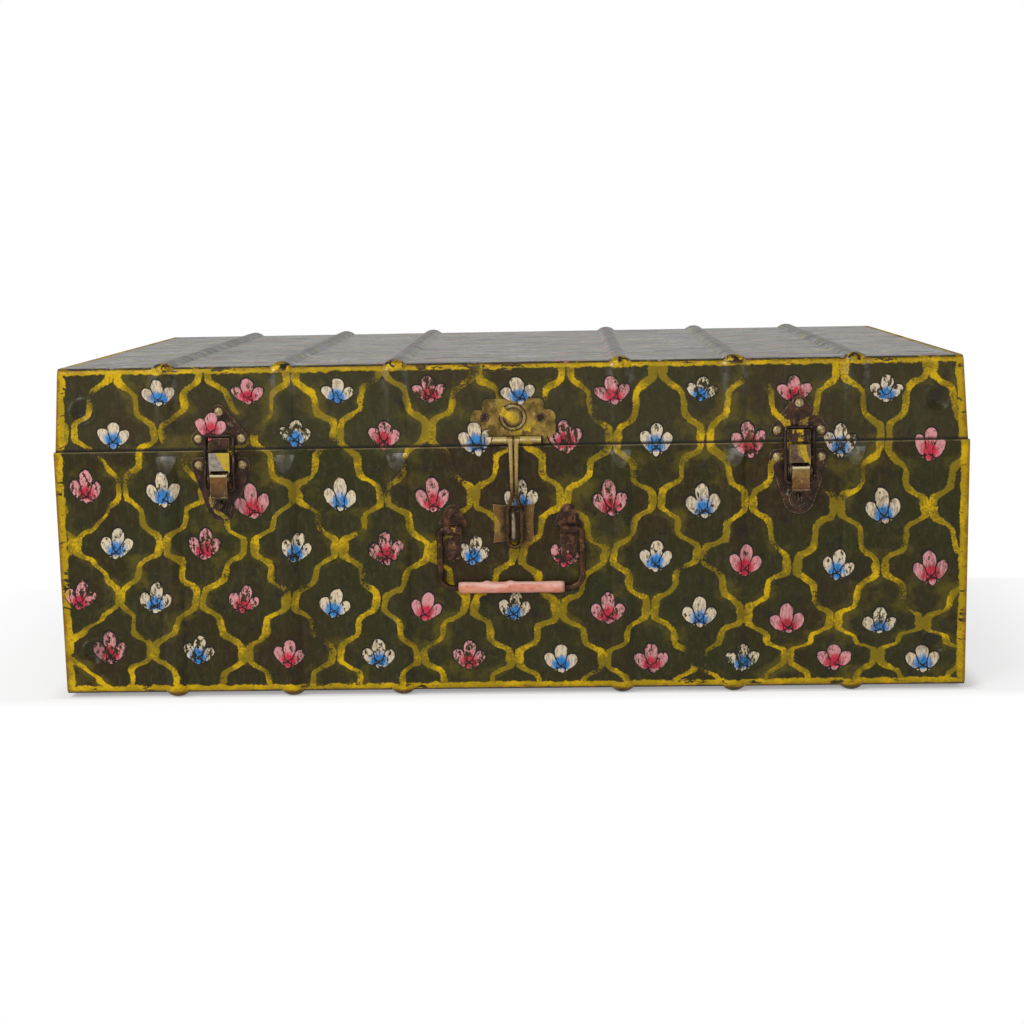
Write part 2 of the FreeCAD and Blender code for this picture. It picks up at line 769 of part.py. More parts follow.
def staple_plate_piece():
    """A square plate whose edges are drawn in between its flared corners."""
    level = rim - staple_middle_drop
    wide, high, waist = staple_plate_half, staple_plate_high, staple_plate_waist
    corners = [(-wide, -high), (wide, -high), (wide, high), (-wide, high)]
    waists = [(0, waist - high), (wide - waist, 0), (0, high - waist), (waist - wide, 0)]
    edges = []
    for index in range(4):
        stops = [corners[index], waists[index], corners[(index + 1) % 4]]
        edges.append(Part.Arc(*[at(staple_place + x, 0, level + z) for x, z in stops]).toShape())
    piece = Part.Face(Part.Wire(edges)).extrude(OUTWARD * staple_plate_thick)
    piece = piece.cut(staple_holes(-overrun, staple_plate_thick + overrun))
    return drilled(piece, staple_rivet_list())


def staple():
    """A round rod bent into a U, its tails clinched behind the wall."""
    low, high = staple_leg_levels()
    behind = -sheet - staple_rod - seam_gap
    out = staple_reach - staple_rod
    x = staple_place
    points = [
        at(x, behind, low - staple_clinch), at(x, behind, low), at(x, out, low),
        at(x, out, high), at(x, behind, high), at(x, behind, high + staple_clinch),
    ]
    tail_bend = staple_rod
    return bent_wire(points, [tail_bend, staple_bend, staple_bend, tail_bend], staple_rod)


# The handle
def handle_bail():
    """One bent wire: its ends turn in under the brackets, and its legs lean out to clear the wall."""
    top = (bail_axle_out, bail_pivot)
    low = (bail_bar_out, bail_pivot - bail_length)
    centre = handle_place
    left_leg = [at(centre - bail_end, *top), at(centre - bail_half, *top), at(centre - bail_half, *low)]
    right_leg = [at(centre + bail_half, *low), at(centre + bail_half, *top), at(centre + bail_end, *top)]
    bends = [bail_top_bend, bail_low_bend, bail_low_bend, bail_top_bend]
    return bent_wire(left_leg + right_leg, bends, bail_wire)


def handle_grip():
    """A sleeve on the bail's bar, a little thinner in the middle."""
    level = bail_pivot - bail_length
    ends = [
        FreeCAD.Vector(0, 0, -grip_half),
        FreeCAD.Vector(grip_end, 0, -grip_half),
        FreeCAD.Vector(grip_middle, 0, 0),
        FreeCAD.Vector(grip_end, 0, grip_half),
        FreeCAD.Vector(0, 0, grip_half),
    ]
    edges = [
        Part.makeLine(ends[0], ends[1]), Part.Arc(ends[1], ends[2], ends[3]).toShape(),
        Part.makeLine(ends[3], ends[4]), Part.makeLine(ends[4], ends[0]),
    ]
    sleeve = Part.Face(Part.Wire(edges)).revolve(FreeCAD.Vector(0, 0, 0), UP, 360)
    sleeve.Placement = FreeCAD.Placement(at(handle_place, bail_bar_out, level), FreeCAD.Rotation(UP, X))
    reach = grip_half + overrun
    bore = bar(handle_place - reach, handle_place + reach, bail_bar_out, level, bail_wire + pin_gap)
    return sleeve.cut(bore)


def handle_bracket(side):
    """A strap with a pointed top lobe and a round foot, humped over the end of the bail."""
    centre = handle_place + side * bracket_place
    wing_level = bail_pivot + bracket_wing_rise
    upper = lobed_plate([
        (centre - bracket_wing, wing_level, bracket_wing_lobe),
        (centre + bracket_wing, wing_level, bracket_wing_lobe),
        (centre, bail_pivot + bracket_top_rise, bracket_top_lobe),
    ], 0, bracket_thick)
    lower = lobed_plate([
        (centre, bail_pivot - bracket_foot_drop, bracket_foot_lobe),
        (centre + bracket_half - bracket_wing_lobe, wing_level, bracket_wing_lobe),
        (centre - bracket_half + bracket_wing_lobe, wing_level, bracket_wing_lobe),
    ], 0, bracket_thick)
    inner = bail_wire + swing_gap
    outer = inner + bracket_thick
    left, right = centre - bracket_half, centre + bracket_half
    hump = bar(left, right, bail_axle_out, bail_pivot, outer).fuse(
        block(left, right, 0, bail_axle_out, bail_pivot - outer, bail_pivot + outer)
    )
    wide = bracket_wing + bracket_wing_lobe + overrun
    left, right = centre - wide, centre + wide
    tunnel = bar(left, right, bail_axle_out, bail_pivot, inner).fuse(
        block(left, right, -overrun, bail_axle_out, bail_pivot - inner, bail_pivot + inner)
    )
    low, high = bail_pivot - outer - overrun, bail_pivot + outer + overrun
    behind = block(left, right, -outer, 0, low, high)
    piece = fused([upper, lower, hump]).cut([tunnel, behind])
    return drilled(piece, bracket_rivet_list())


# The hinges at the back, built at x = 0
def knuckle_spans(first):
    pitch = hinge_width / hinge_knuckle_count
    spans = []
    for index in range(first, hinge_knuckle_count, 2):
        start = -hinge_width / 2 + index * pitch
        spans.append((start + hinge_knuckle_gap / 2, start + pitch - hinge_knuckle_gap / 2))
    return spans


def hinge_block(x_low, x_high, v_low, v_high, z_low, z_high):
    """A box that stands v behind the body's back wall."""
    corner = FreeCAD.Vector(x_low, back + v_low, z_low)
    return Part.makeBox(x_high - x_low, v_high - v_low, z_high - z_low, corner)


def hinge_bar(x_low, x_high, radius):
    return Part.makeCylinder(radius, x_high - x_low, FreeCAD.Vector(x_low, back + hinge_axle_out, rim), X)


def finished_leaf(shapes, face, level):
    piece = fused(shapes).cut(hinge_bar(-hinge_width, hinge_width, hinge_axle + pin_gap))
    holes = [
        rivet_hole(FreeCAD.Vector(x, back + face + hinge_leaf, level), BACKWARD, hinge_leaf + sheet)
        for x in (-hinge_rivet_place, hinge_rivet_place)
    ]
    return piece.cut(holes)


def hinge_body_leaf():
    half = hinge_width / 2
    clear = hinge_knuckle + swing_gap
    shapes = [hinge_block(-half, half, 0, hinge_leaf, rim - hinge_leaf_length, rim - clear)]
    for low, high in knuckle_spans(0):
        shapes.append(hinge_block(low, high, 0, hinge_leaf, rim - clear, rim))
        shapes.append(hinge_bar(low, high, hinge_knuckle))
    return finished_leaf(shapes, 0, rim - hinge_rivet_rise)


def hinge_lid_leaf():
    """The lid's leaf, cranked out over the step between the lid's skirt and the body's wall."""
    half = hinge_width / 2
    clear = hinge_knuckle + swing_gap
    face = lid_face + hinge_leaf
    shapes = [hinge_block(-half, half, lid_face, face, rim + clear, rim + hinge_leaf_length)]
    crank_low = rim + hinge_knuckle - hinge_leaf
    for low, high in knuckle_spans(1):
        shapes.append(hinge_block(low, high, lid_face, face, crank_low, rim + clear))
        shapes.append(hinge_block(low, high, lid_face, hinge_axle_out, crank_low, rim + hinge_knuckle))
        shapes.append(hinge_bar(low, high, hinge_knuckle))
    return finished_leaf(shapes, lid_face, rim + hinge_rivet_rise)


def hinge_pin():
    half = hinge_width / 2
    return hinge_bar(-half, half, hinge_axle)


def moved(shape, x):
    return shape.translated(X * x)


def rivets(places, **form):
    return Part.makeCompound([rivet(*entry, **form) for entry in places])


def build():
    save("body_wrap", body_wrap())
    save("lid_wrap", lid_wrap())
    save("rim_collar", rim_collar())
    end, top_end = body_end(), lid_end()
    for name, side, turn in (("right", 1, lambda shape: shape), ("left", -1, mirrored)):
        save("body_end_" + name, turn(end))
        save("lid_end_" + name, turn(top_end))
        save("keeper_" + name, moved(keeper(), side * latch_place))
        save("latch_base_" + name, moved(latch_base(), side * latch_place))
        save("lever_pin_" + name, moved(lever_pin(), side * latch_place))
        save("latch_lever_" + name, moved(latch_lever(), side * latch_place))
        save("latch_loop_" + name, moved(latch_loop(), side * latch_place))
        save("handle_bracket_" + name, handle_bracket(side))
        save("hinge_body_leaf_" + name, moved(hinge_body_leaf(), side * hinge_place))
        save("hinge_lid_leaf_" + name, moved(hinge_lid_leaf(), side * hinge_place))
        save("hinge_pin_" + name, moved(hinge_pin(), side * hinge_place))
    save("hasp_plate", hasp_plate_piece())
    save("hasp_pin", hasp_pin())
    save("hasp_arm", hasp_arm())
    save("staple_plate", staple_plate_piece())
    save("staple", staple())
    save("handle_bail", handle_bail())
    save("handle_grip", handle_grip())
    save("keeper_rivets", rivets(keeper_rivet_list(-1) + keeper_rivet_list(1)))
    save("latch_base_rivets", rivets(base_rivet_list(-1) + base_rivet_list(1)))
    save("hasp_rivets", rivets(
        hasp_rivet_list(), head=hasp_rivet_head, rise=hasp_rivet_rise, dish=hasp_rivet_dish
    ))
    save("staple_rivets", rivets(staple_rivet_list(), head=staple_rivet_head, rise=staple_rivet_rise))
    save("handle_rivets", rivets(bracket_rivet_list(), head=bracket_rivet_head, rise=bracket_rivet_rise))
    save("hinge_body_rivets", rivets(hinge_rivet_list(0, rim - hinge_rivet_rise)))
    save("hinge_lid_rivets", rivets(hinge_rivet_list(lid_face, rim + hinge_rivet_rise)))


build()
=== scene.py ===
"""Painted steel trunk: finishes, grip, stage and camera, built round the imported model."""

import math

import bmesh
import bpy
from bpy.props import FloatProperty, FloatVectorProperty, PointerProperty
from bpy.types import Operator, Panel, PropertyGroup
from mathutils import Matrix, Vector


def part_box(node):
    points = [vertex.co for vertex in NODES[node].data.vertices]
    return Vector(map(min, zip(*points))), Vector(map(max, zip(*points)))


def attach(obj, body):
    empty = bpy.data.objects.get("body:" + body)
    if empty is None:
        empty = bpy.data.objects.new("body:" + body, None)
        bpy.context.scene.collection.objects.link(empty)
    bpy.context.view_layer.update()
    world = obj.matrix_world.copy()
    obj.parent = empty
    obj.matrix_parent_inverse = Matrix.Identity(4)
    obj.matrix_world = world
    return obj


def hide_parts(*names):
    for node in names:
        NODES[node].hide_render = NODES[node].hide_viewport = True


bl_info = {
    "name": "Painted Trunk",
    "version": (1, 0, 0),
    "blender": (4, 5, 0),
    "location": "View3D > Sidebar > Trunk",
    "description": "Finishes a ribbed steel trunk with a hand-painted lattice, and sets its stage",
    "category": "Object",
}

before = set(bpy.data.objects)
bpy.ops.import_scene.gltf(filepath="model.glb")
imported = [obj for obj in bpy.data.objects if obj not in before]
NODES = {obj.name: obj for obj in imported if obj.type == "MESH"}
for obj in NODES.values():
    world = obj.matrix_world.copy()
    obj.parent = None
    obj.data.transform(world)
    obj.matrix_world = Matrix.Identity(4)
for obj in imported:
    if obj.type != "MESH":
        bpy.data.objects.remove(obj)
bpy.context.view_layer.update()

MM = 1000
BODY_LOW, BODY_HIGH = (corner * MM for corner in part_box("body_wrap"))
LID_LOW, LID_HIGH = (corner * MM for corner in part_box("lid_wrap"))
LEVER_LOW, LEVER_HIGH = (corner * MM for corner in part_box("latch_lever_right"))
HASP_LOW, HASP_HIGH = (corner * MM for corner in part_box("hasp_plate"))
PIN_LOW, PIN_HIGH = (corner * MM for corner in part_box("hasp_pin"))
GRIP_LOW, GRIP_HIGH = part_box("handle_grip")
RIB_RISE = 3.2
RIB_SHARES = (0.245, 0.492, 0.752)
BODY_HALF = BODY_HIGH.x
RIM = LID_LOW.z
FLOOR_EDGE = RIB_RISE - 0.2
LID_TOP = LID_HIGH.z - RIB_RISE
LID_HALF = LID_HIGH.x
LID_LEAN = 4.7 / (LID_TOP - RIM)
FRONT = BODY_LOW.y + RIB_RISE
BACK = BODY_HIGH.y - RIB_RISE
MIDDLE = (FRONT + BACK) / 2
LATCH = (LEVER_LOW.x + LEVER_HIGH.x) / 2
HASP = (HASP_LOW.x + HASP_HIGH.x) / 2
HASP_AXLE = (PIN_LOW.z + PIN_HIGH.z) / 2
BOSS = RIM + 21


def tint(name, description, colour):
    """A colour that a user may change."""
    return FloatVectorProperty(
        name=name, description=description, subtype="COLOR", min=0, max=1, default=colour,
    )


def span(name, description, size, low, high):
    """A length in mm that a user may change."""
    return FloatProperty(
        name=name, description=description + ", in mm", default=size, min=low, max=high,
    )


class Colour(PropertyGroup):
    """Colours of the paints and metals."""

    ground: tint("Ground", "Dark olive ground paint", (0.0245, 0.0235, 0.0045))
    ground_brown: tint("Brown patches", "Ground where the varnish has browned", (0.028, 0.0145, 0.0035))
    stain: tint("Yellow stain", "Thin smears of the lattice's yellow", (0.110, 0.085, 0.006))
    # Also laid thinly over the whole lid as painted light, making it lighter.
    haze_and_lid_light: tint("Haze", "Pale brush marks and specks in the ground", (0.085, 0.073, 0.040))
    yellow: tint("Lattice", "Mustard yellow of the lattice and borders", (0.56, 0.350, 0.002))
    yellow_thin: tint("Thin lattice", "The same yellow where the brush ran dry", (0.27, 0.185, 0.003))
    cream: tint("Cream petals", "Tips of the blue flowers", (0.60, 0.495, 0.335))
    blue: tint("Blue petals", "Roots of the blue flowers", (0.016, 0.185, 0.49))
    pink: tint("Pink petals", "Tips of the pink flowers", (0.57, 0.25, 0.255))
    crimson: tint("Crimson petals", "Roots of the pink flowers", (0.50, 0.022, 0.055))
    outline: tint("Outline", "Thin dark brush lines", (0.012, 0.011, 0.010))
    iron: tint("Latch iron", "Dark brown iron of the plates", (0.057, 0.024, 0.011))
    rust: tint("Rust", "Rust on iron and wire", (0.135, 0.050, 0.018))
    # Also laid along the body's lip as rubbed metal and a painted highlight.
    rubbed: tint("Rubbed metal", "Metal rubbed bright", (0.42, 0.34, 0.20))
    brass: tint("Brass", "Dull brass of the hasp", (0.32, 0.20, 0.040))
    rivet: tint("Rivets", "Pale yellow metal of the rivets", (0.50, 0.41, 0.22))
    grip: tint("Grip", "Salmon pink of the sleeve", (0.62, 0.24, 0.16))


class Brush(PropertyGroup):
    """Sizes of the painted pattern."""

    half_pitch: span("Half pitch", "Half the distance between two flowers in a row", 32.75, 5, 200)
    row_pitch: span("Row pitch", "Distance between two rows on the top", 39.3, 5, 200)
    stroke: span("Stroke", "Half the width of a lattice stroke", 2.45, 0.2, 10)
    border: span("Border", "Width of the yellow border", 6.2, 0.5, 30)
    flower: FloatProperty(
        name="Flower", description="Scale of the flowers", default=0.95, min=0.2, max=3,
    )


class Stand(PropertyGroup):
    """Sizes of the stage and the camera."""

    floor_half: FloatProperty(
        name="Floor", description="Half the floor's width", default=12, min=1, unit="LENGTH",
    )
    ambient: FloatProperty(
        name="Ambient", description="Strength of the room's own light", default=0.42, min=0,
    )
    dim_room: FloatProperty(
        name="Dim room", description="How bright gloss shows the room in front", default=0.22, min=0,
    )
    lens: FloatProperty(
        name="Lens", description="Focal length in mm on a 36 mm sensor", default=61.71, min=10,
    )
    camera_place: FloatVectorProperty(
        name="Camera", description="The camera's place", subtype="XYZ", unit="LENGTH",
        default=(0.03983, -1.45298, 0.33507),
    )
    yaw: FloatProperty(
        name="Yaw", description="Turn to the right", subtype="ANGLE", default=math.radians(-1.73),
    )
    pitch: FloatProperty(
        name="Pitch", description="Tilt upwards", subtype="ANGLE", default=math.radians(-9),
    )
    roll: FloatProperty(
        name="Roll", description="Roll of the camera", subtype="ANGLE", default=math.radians(-1.06),
    )


class TrunkSettings(PropertyGroup):
    """Everything that a user may change."""

    colour: PointerProperty(type=Colour)
    brush: PointerProperty(type=Brush)
    stand: PointerProperty(type=Stand)


def arithmetic(operation):
    """Two methods of Value that add a Math node for an operator, and for its reflected form."""

    def direct(self, other):
        return self.nodes.maths(operation, self, other)

    def reflected(self, other):
        return self.nodes.maths(operation, other, self)

    return direct, reflected


class Value:
    """A number that changes over a surface: a node's socket, with arithmetic."""

    def __init__(self, nodes, socket):
        self.nodes = nodes
        self.socket = socket

    __add__, __radd__ = arithmetic("ADD")
    __sub__, __rsub__ = arithmetic("SUBTRACT")
    __mul__, __rmul__ = arithmetic("MULTIPLY")
    __truediv__, __rtruediv__ = arithmetic("DIVIDE")
    __mod__, __rmod__ = arithmetic("FLOORED_MODULO")
    __gt__, __lt__ = arithmetic("GREATER_THAN")

    def __abs__(self):
        return self.nodes.maths("ABSOLUTE", self)

    def step(self, low, high):
        """Rises smoothly from 0 at low to 1 at high. With low over high it falls."""
        if low > high:
            return 1 - self.step(high, low)
        made = self.nodes.node(
            "ShaderNodeMapRange", {"interpolation_type": "SMOOTHSTEP"},
            {"Value": self, "From Min": low, "From Max": high},
        )
        return Value(self.nodes, made.outputs["Result"])


class Nodes:
    """The nodes of one tree."""

    def __init__(self, tree):
        self.tree = tree

    def find_place(self):
        """Makes the values that tell the place on the piece, in mm, and which way the surface faces."""
        place = self.node("ShaderNodeTexCoord")
        self.place = self.node(
            "ShaderNodeVectorMath", {"operation": "SCALE"},
            {"Vector": place.outputs["Object"], "Scale": MM},
        ).outputs[0]
        self.x, self.y, self.z = self.split(self.place)
        self.facing = self.split(place.outputs["Normal"])

    def node(self, kind, settings=None, inputs=None):
        """Adds a node, then gives it its settings, and the values or links of its sockets."""
        made = self.tree.nodes.new(kind)
        for name, value in (settings or {}).items():
            setattr(made, name, value)
        for name, value in (inputs or {}).items():
            socket = made.inputs[name]
            if isinstance(value, Value):
                value = value.socket
            if isinstance(value, bpy.types.NodeSocket):
                self.tree.links.new(value, socket)
            else:
                socket.default_value = value
        return made

    def maths(self, operation, *terms):
        made = self.node("ShaderNodeMath", {"operation": operation}, dict(enumerate(terms)))
        return Value(self, made.outputs[0])

    def split(self, vector):
        made = self.node("ShaderNodeSeparateXYZ", inputs={0: vector})
        return [Value(self, socket) for socket in made.outputs]

    def lowest(self, first, *rest):
        for value in rest:
            first = self.maths("MINIMUM", first, value)
        return first

    def highest(self, first, *rest):
        for value in rest:
            first = self.maths("MAXIMUM", first, value)
        return first

    def distance(self, *steps):
        """The length of a way made of steps at right angles."""
        return self.maths("SQRT", sum(step * step for step in steps))

    def floor(self, value):
        return self.maths("FLOOR", value)

    def noise_node(self, size, seed, detail, rough, stretch):
        vector = self.node(
            "ShaderNodeVectorMath", {"operation": "MULTIPLY_ADD"},
            {
                0: self.place,
                1: [1 / (size * share) for share in stretch],
                2: [seed * 7.1, seed * 3.3, seed * 5.7],
            },
        ).outputs[0]
        return self.node(
            "ShaderNodeTexNoise", {"noise_dimensions": "3D"},
            {"Vector": vector, "Scale": 1, "Detail": detail, "Roughness": rough},
        )

    def noise(self, size, seed=0, detail=2, rough=0.5, stretch=(1, 1, 1)):
        """Cloudy noise about 0.5, whose clouds are about as large as size in mm."""
        return Value(self, self.noise_node(size, seed, detail, rough, stretch).outputs[0])

    def patches(self, low, high, size, seed, **look):
        """Patches with soft edges, where cloudy noise passes from low to high."""
        return self.noise(size, seed, **look).step(low, high)

    def wander(self, size, seed, detail=1):
        """Three noises at once, each about zero."""
        colour = self.noise_node(size, seed, detail, 0.5, (1, 1, 1)).outputs[1]
        return [value - 0.5 for value in self.split(colour)]

    def blend(self, share, first, second):
        """One colour over another by a share of 0 to 1."""
        return self.node(
            "ShaderNodeMix", {"data_type": "RGBA"},
            {0: share, 6: self.colour(first), 7: self.colour(second)},
        ).outputs[2]

    @staticmethod
    def colour(value):
        return value if isinstance(value, bpy.types.NodeSocket) else (*value[:3], 1)


class Finish(Nodes):
    """One material."""

    def __init__(self, name):
        self.material = bpy.data.materials.new(name)
        self.material.use_nodes = True
        self.material.node_tree.nodes.clear()
        super().__init__(self.material.node_tree)
        self.find_place()

    def rounded(self, radius):
        """The normal over edges rounded by a radius in mm, and how near a place is to such an edge."""
        soft = self.node("ShaderNodeBevel", {"samples": 6}, {"Radius": radius / MM}).outputs[0]
        flat = self.node("ShaderNodeNewGeometry").outputs["Normal"]
        along = self.node("ShaderNodeVectorMath", {"operation": "DOT_PRODUCT"}, {0: soft, 1: flat})
        return soft, Value(self, along.outputs["Value"]).step(0.995, 0.86)

    def crease_dirt_and_shade(self, reach):
        """How deep in a crease a place lies, by ambient occlusion, for darkening creases as dirt and as
        painted shade. Reach is in mm.
        """
        made = self.node(
            "ShaderNodeAmbientOcclusion", {"samples": 6, "only_local": True}, {"Distance": reach / MM}
        )
        return 1 - Value(self, made.outputs["AO"])

    def lay(self, share, colour):
        """Lays a colour over the surface's tone by a share of 0 to 1."""
        self.tone = self.blend(share, self.tone, colour)

    def finished(self, rough, metal=0, relief=None, strength=1, constants=None, soft=None):
        """Closes the material. Relief is in mm, constants are the shader's own settings, soft a normal."""
        inputs = {"Base Color": self.tone, "Roughness": rough, "Metallic": metal}
        if relief is not None:
            bump = self.node(
                "ShaderNodeBump", inputs={"Strength": strength, "Distance": 1 / MM, "Height": relief}
            )
            if soft is not None:
                self.tree.links.new(soft, bump.inputs["Normal"])
            inputs["Normal"] = bump.outputs[0]
        inputs.update(constants or {})
        surface = self.node("ShaderNodeBsdfPrincipled", inputs=inputs)
        self.node("ShaderNodeOutputMaterial", inputs={"Surface": surface.outputs[0]})
        return self.material


# Levels of the flower rows on the front, in mm, from the top of the lid's front down
ROW_LEVELS = (224, 192, 146, 106, 65, 28)
FLOWER_START = 6
# The flower over the left keeper stands too high, and the one beside the left latch too low
HIGH_FLOWER = (-217, 203)
LOW_FLOWER = (-192, 150)
# Each petal's middle, half sizes and lean, in mm from the flower's middle
PETALS = {
    "middle": ((0, 3.4), (5.1, 9.4), 0),
    "left": ((-8, -2.4), (4.3, 7.6), -0.44),
    "right": ((8, -2.4), (4.3, 7.6), 0.44),
    "low_left": ((-3.3, -7.6), (2.6, 3.4), 0.5),
    "low_right": ((3.3, -7.6), (2.6, 3.4), -0.5),
    "dot": ((0.3, -10.2), (3, 2.5), 0),
}
# The petals that have a brush line round them: where it runs, and how thin it is
OUTLINED = (("middle", 1.04, 6.2), ("left", 1.06, 5.8), ("right", 1.02, 5.8), ("dot", 1.1, 2.3))


def front_grid(finish):
    """Where a place on the walls lies in the painter's grid: across in mm, and row.

    The rows sink to the right and bend at its end, and the first column is squeezed in."""
    x, z = finish.x, finish.z
    high_flower, low_flower = [finish.distance(x - u, z - v) for u, v in (HIGH_FLOWER, LOW_FLOWER)]
    raised = high_flower.step(34, 8)
    lowered = low_flower.step(38, 14)
    sinking = 0.012 + 0.024 * z.step(224, 165) - 0.010 * z.step(60, 25)
    bow = 4 * z.step(125, 100) + 2 * z.step(85, 60)
    bow = (bow - 11 * z.step(48, 28)) * x.step(110, 270)
    row = row_on_wall(finish, z + sinking * x + bow - raised * 8 + lowered * 6.5)
    shift = 2.7 - 7.2 * z.step(140, 25) + 0.016 * x * z.step(140, 60)
    squeezed = abs(row % 2 - 1).step(0.35, 0.60) * (RIM > z)
    shift = shift + 10 * x.step(-272, -304) * squeezed
    return x - FLOWER_START - shift - raised * 6, row


def row_on_wall(finish, level):
    """The row that a level on the walls has: 0 at the top row of flowers, 1 at the next."""
    gaps = [high - low for high, low in zip(ROW_LEVELS, ROW_LEVELS[1:])]
    row = (ROW_LEVELS[0] - level) / gaps[0]
    for bend, above, below in zip(ROW_LEVELS[1:], gaps, gaps[1:]):
        row = row + finish.highest(bend - level, 0) * (1 / below - 1 / above)
    return row


class Brushwork(Nodes):
    """The hand-painted lattice and flowers, in a group of nodes that every painted finish shares."""

    NAME = "lattice_and_flowers"
    SHARES = ("lattice", "by_lattice", "flower", "outline", "near_flower", "grain")

    def __init__(self, settings):
        tree = bpy.data.node_groups.new(self.NAME, "ShaderNodeTree")
        super().__init__(tree)
        self.find_place()
        self.paints = settings.colour
        self.brush = settings.brush
        for name in ("across", "row"):
            tree.interface.new_socket(name, in_out="INPUT", socket_type="NodeSocketFloat")
        for name in self.SHARES:
            tree.interface.new_socket(name, in_out="OUTPUT", socket_type="NodeSocketFloat")
        tree.interface.new_socket("flower_colour", in_out="OUTPUT", socket_type="NodeSocketColor")
        across, row = [Value(self, socket) for socket in self.node("NodeGroupInput").outputs[:2]]
        slow = self.wander(70, 3.1)
        quick = self.wander(9, 7.7)
        self.across = across + slow[0] * 11 + quick[0] * 3
        above_top = self.lowest(self.highest(1 - row, 0), 1.64) * 0.333
        self.row = row + above_top + (slow[2] * 10 + quick[2] * 3) / self.brush.row_pitch
        self.grain = self.noise(1.6, 11, detail=3, rough=0.65)
        self.patch = self.noise(34, 5, detail=3)
        self.lattice = self.draw_lattice()
        self.draw_flowers(across, row)
        results = {name: getattr(self, name) for name in (*self.SHARES, "flower_colour")}
        self.node("NodeGroupOutput", inputs=results)

    def draw_lattice(self):
        """Stepped strokes that swing from side to side and nearly meet back to back at each row."""
        half_pitch = self.brush.half_pitch
        count = self.floor(self.row)
        part = self.row - count
        turn = part * (2 * math.pi)
        waves = [(0.015, 1), (0.105, 2), (-0.014, 4)]
        swing, slope, apart = part, 1, self.noise(60, 19) * 0.16 + 0.01
        for height, rate in waves:
            swing = swing - height * self.maths("SINE", turn * rate)
            slope = slope - (height * rate * 2 * math.pi) * self.maths("COSINE", turn * rate)
        swing = apart + swing * (1 - apart * 2)
        share = self.across / half_pitch
        one = self.maths("PINGPONG", share - 1 - count - swing, 1)
        other = self.maths("PINGPONG", share - 1 + count + swing, 1)
        slope = slope * (0.85 * half_pitch / self.brush.row_pitch)
        away = self.lowest(one, other) * half_pitch / self.maths("SQRT", slope * slope + 1)
        self.by_lattice = away.step(11, 3)
        ragged = away + (self.grain - 0.5) * 1.7 + (self.noise(13, 21) - 0.5) * 2.8
        swell = 0.9 + 0.15 * self.maths("COSINE", turn) + 0.15 * self.maths("COSINE", turn * 2)
        stroke = (ragged - swell * self.brush.stroke).step(0.4, -0.4)
        kept = (self.patch + (self.grain - 0.5) * 0.35).step(0.34, 0.43)
        return stroke * kept

    def petal(self, p, q, centre, size, lean):
        """How far a place is from a petal's middle, where its edge is 1. It narrows to its foot."""
        cos, sin = math.cos(lean), math.sin(lean)
        dp, dq = p - centre[0], q - centre[1]
        side = dp * cos - dq * sin
        up = (dp * sin + dq * cos) / size[1]
        side = side / (up * 0.28 + 1) / size[0]
        return self.distance(side, up)

    def find_flower(self, across, row):
        """The nearest flower: its column and row, a place's p and q from its middle, and its chances."""
        count = self.floor(row + 0.5)
        share = across / self.brush.half_pitch - count
        pair = self.floor(share / 2 + 0.5)
        column = pair * 2 + count
        cell = self.node("ShaderNodeCombineXYZ", inputs={0: column, 1: count}).outputs[0]
        chance = self.node("ShaderNodeTexWhiteNoise", {"noise_dimensions": "2D"}, {0: cell})
        chance = self.split(chance.outputs["Color"])
        wobble = self.wander(5, 31)
        size = (0.87 + chance[2] * 0.13) * self.brush.flower
        p = (share - pair * 2) * self.brush.half_pitch / size + wobble[0] * 1.7 + (chance[0] - 0.5) * 3
        q = (count - row) * 38 / size + wobble[2] * 1.7 + (chance[1] - 0.5) * 3
        tilt = (chance[2] - 0.5) * 0.34
        return column, count, p + q * tilt, q - p * tilt, chance

    def missing(self, column, count):
        """1 where the grid has no flower: in a top corner, under the right latch and past two edges."""
        corner = (-9.5 > column) * (0.5 > count)
        under_latch = 0.5 > abs(column - 6) + abs(count - 2)
        return self.highest(corner, under_latch, column > 9.5, count > 5.5)

    def petal_colour(self, column, count, p, q, chance):
        """Blue or crimson at the root and pale at the tips. White and pink flowers take turns."""
        dabbed = self.noise(2.6, 51, detail=3, rough=0.6, stretch=(0.7, 1, 2.2)) - 0.5
        tip = (self.distance(p, q + 5.5) + dabbed * 9).step(4.4, 9.8)
        pale_dot = (q + dabbed * 3).step(-8.6, -10.2) * (chance[2] > 0.35)
        tip = self.highest(tip, pale_dot) - (self.noise(6, 61) - 0.5) * 0.5
        turn = column - count % 2 * 3 + (count > 4.5) * 2 + 0.5
        white = 1 > turn % 4
        warm = self.blend(tip, self.paints.crimson, self.paints.pink)
        light = self.blend(tip, self.paints.blue, self.paints.cream)
        streaks = self.noise(2.2, 65, detail=4, rough=0.7, stretch=(0.7, 1, 2.4))
        streaks = (streaks + chance[2] * 0.08).step(0.50, 0.68) * 0.55
        return self.blend(streaks, self.blend(white, warm, light), self.paints.iron)

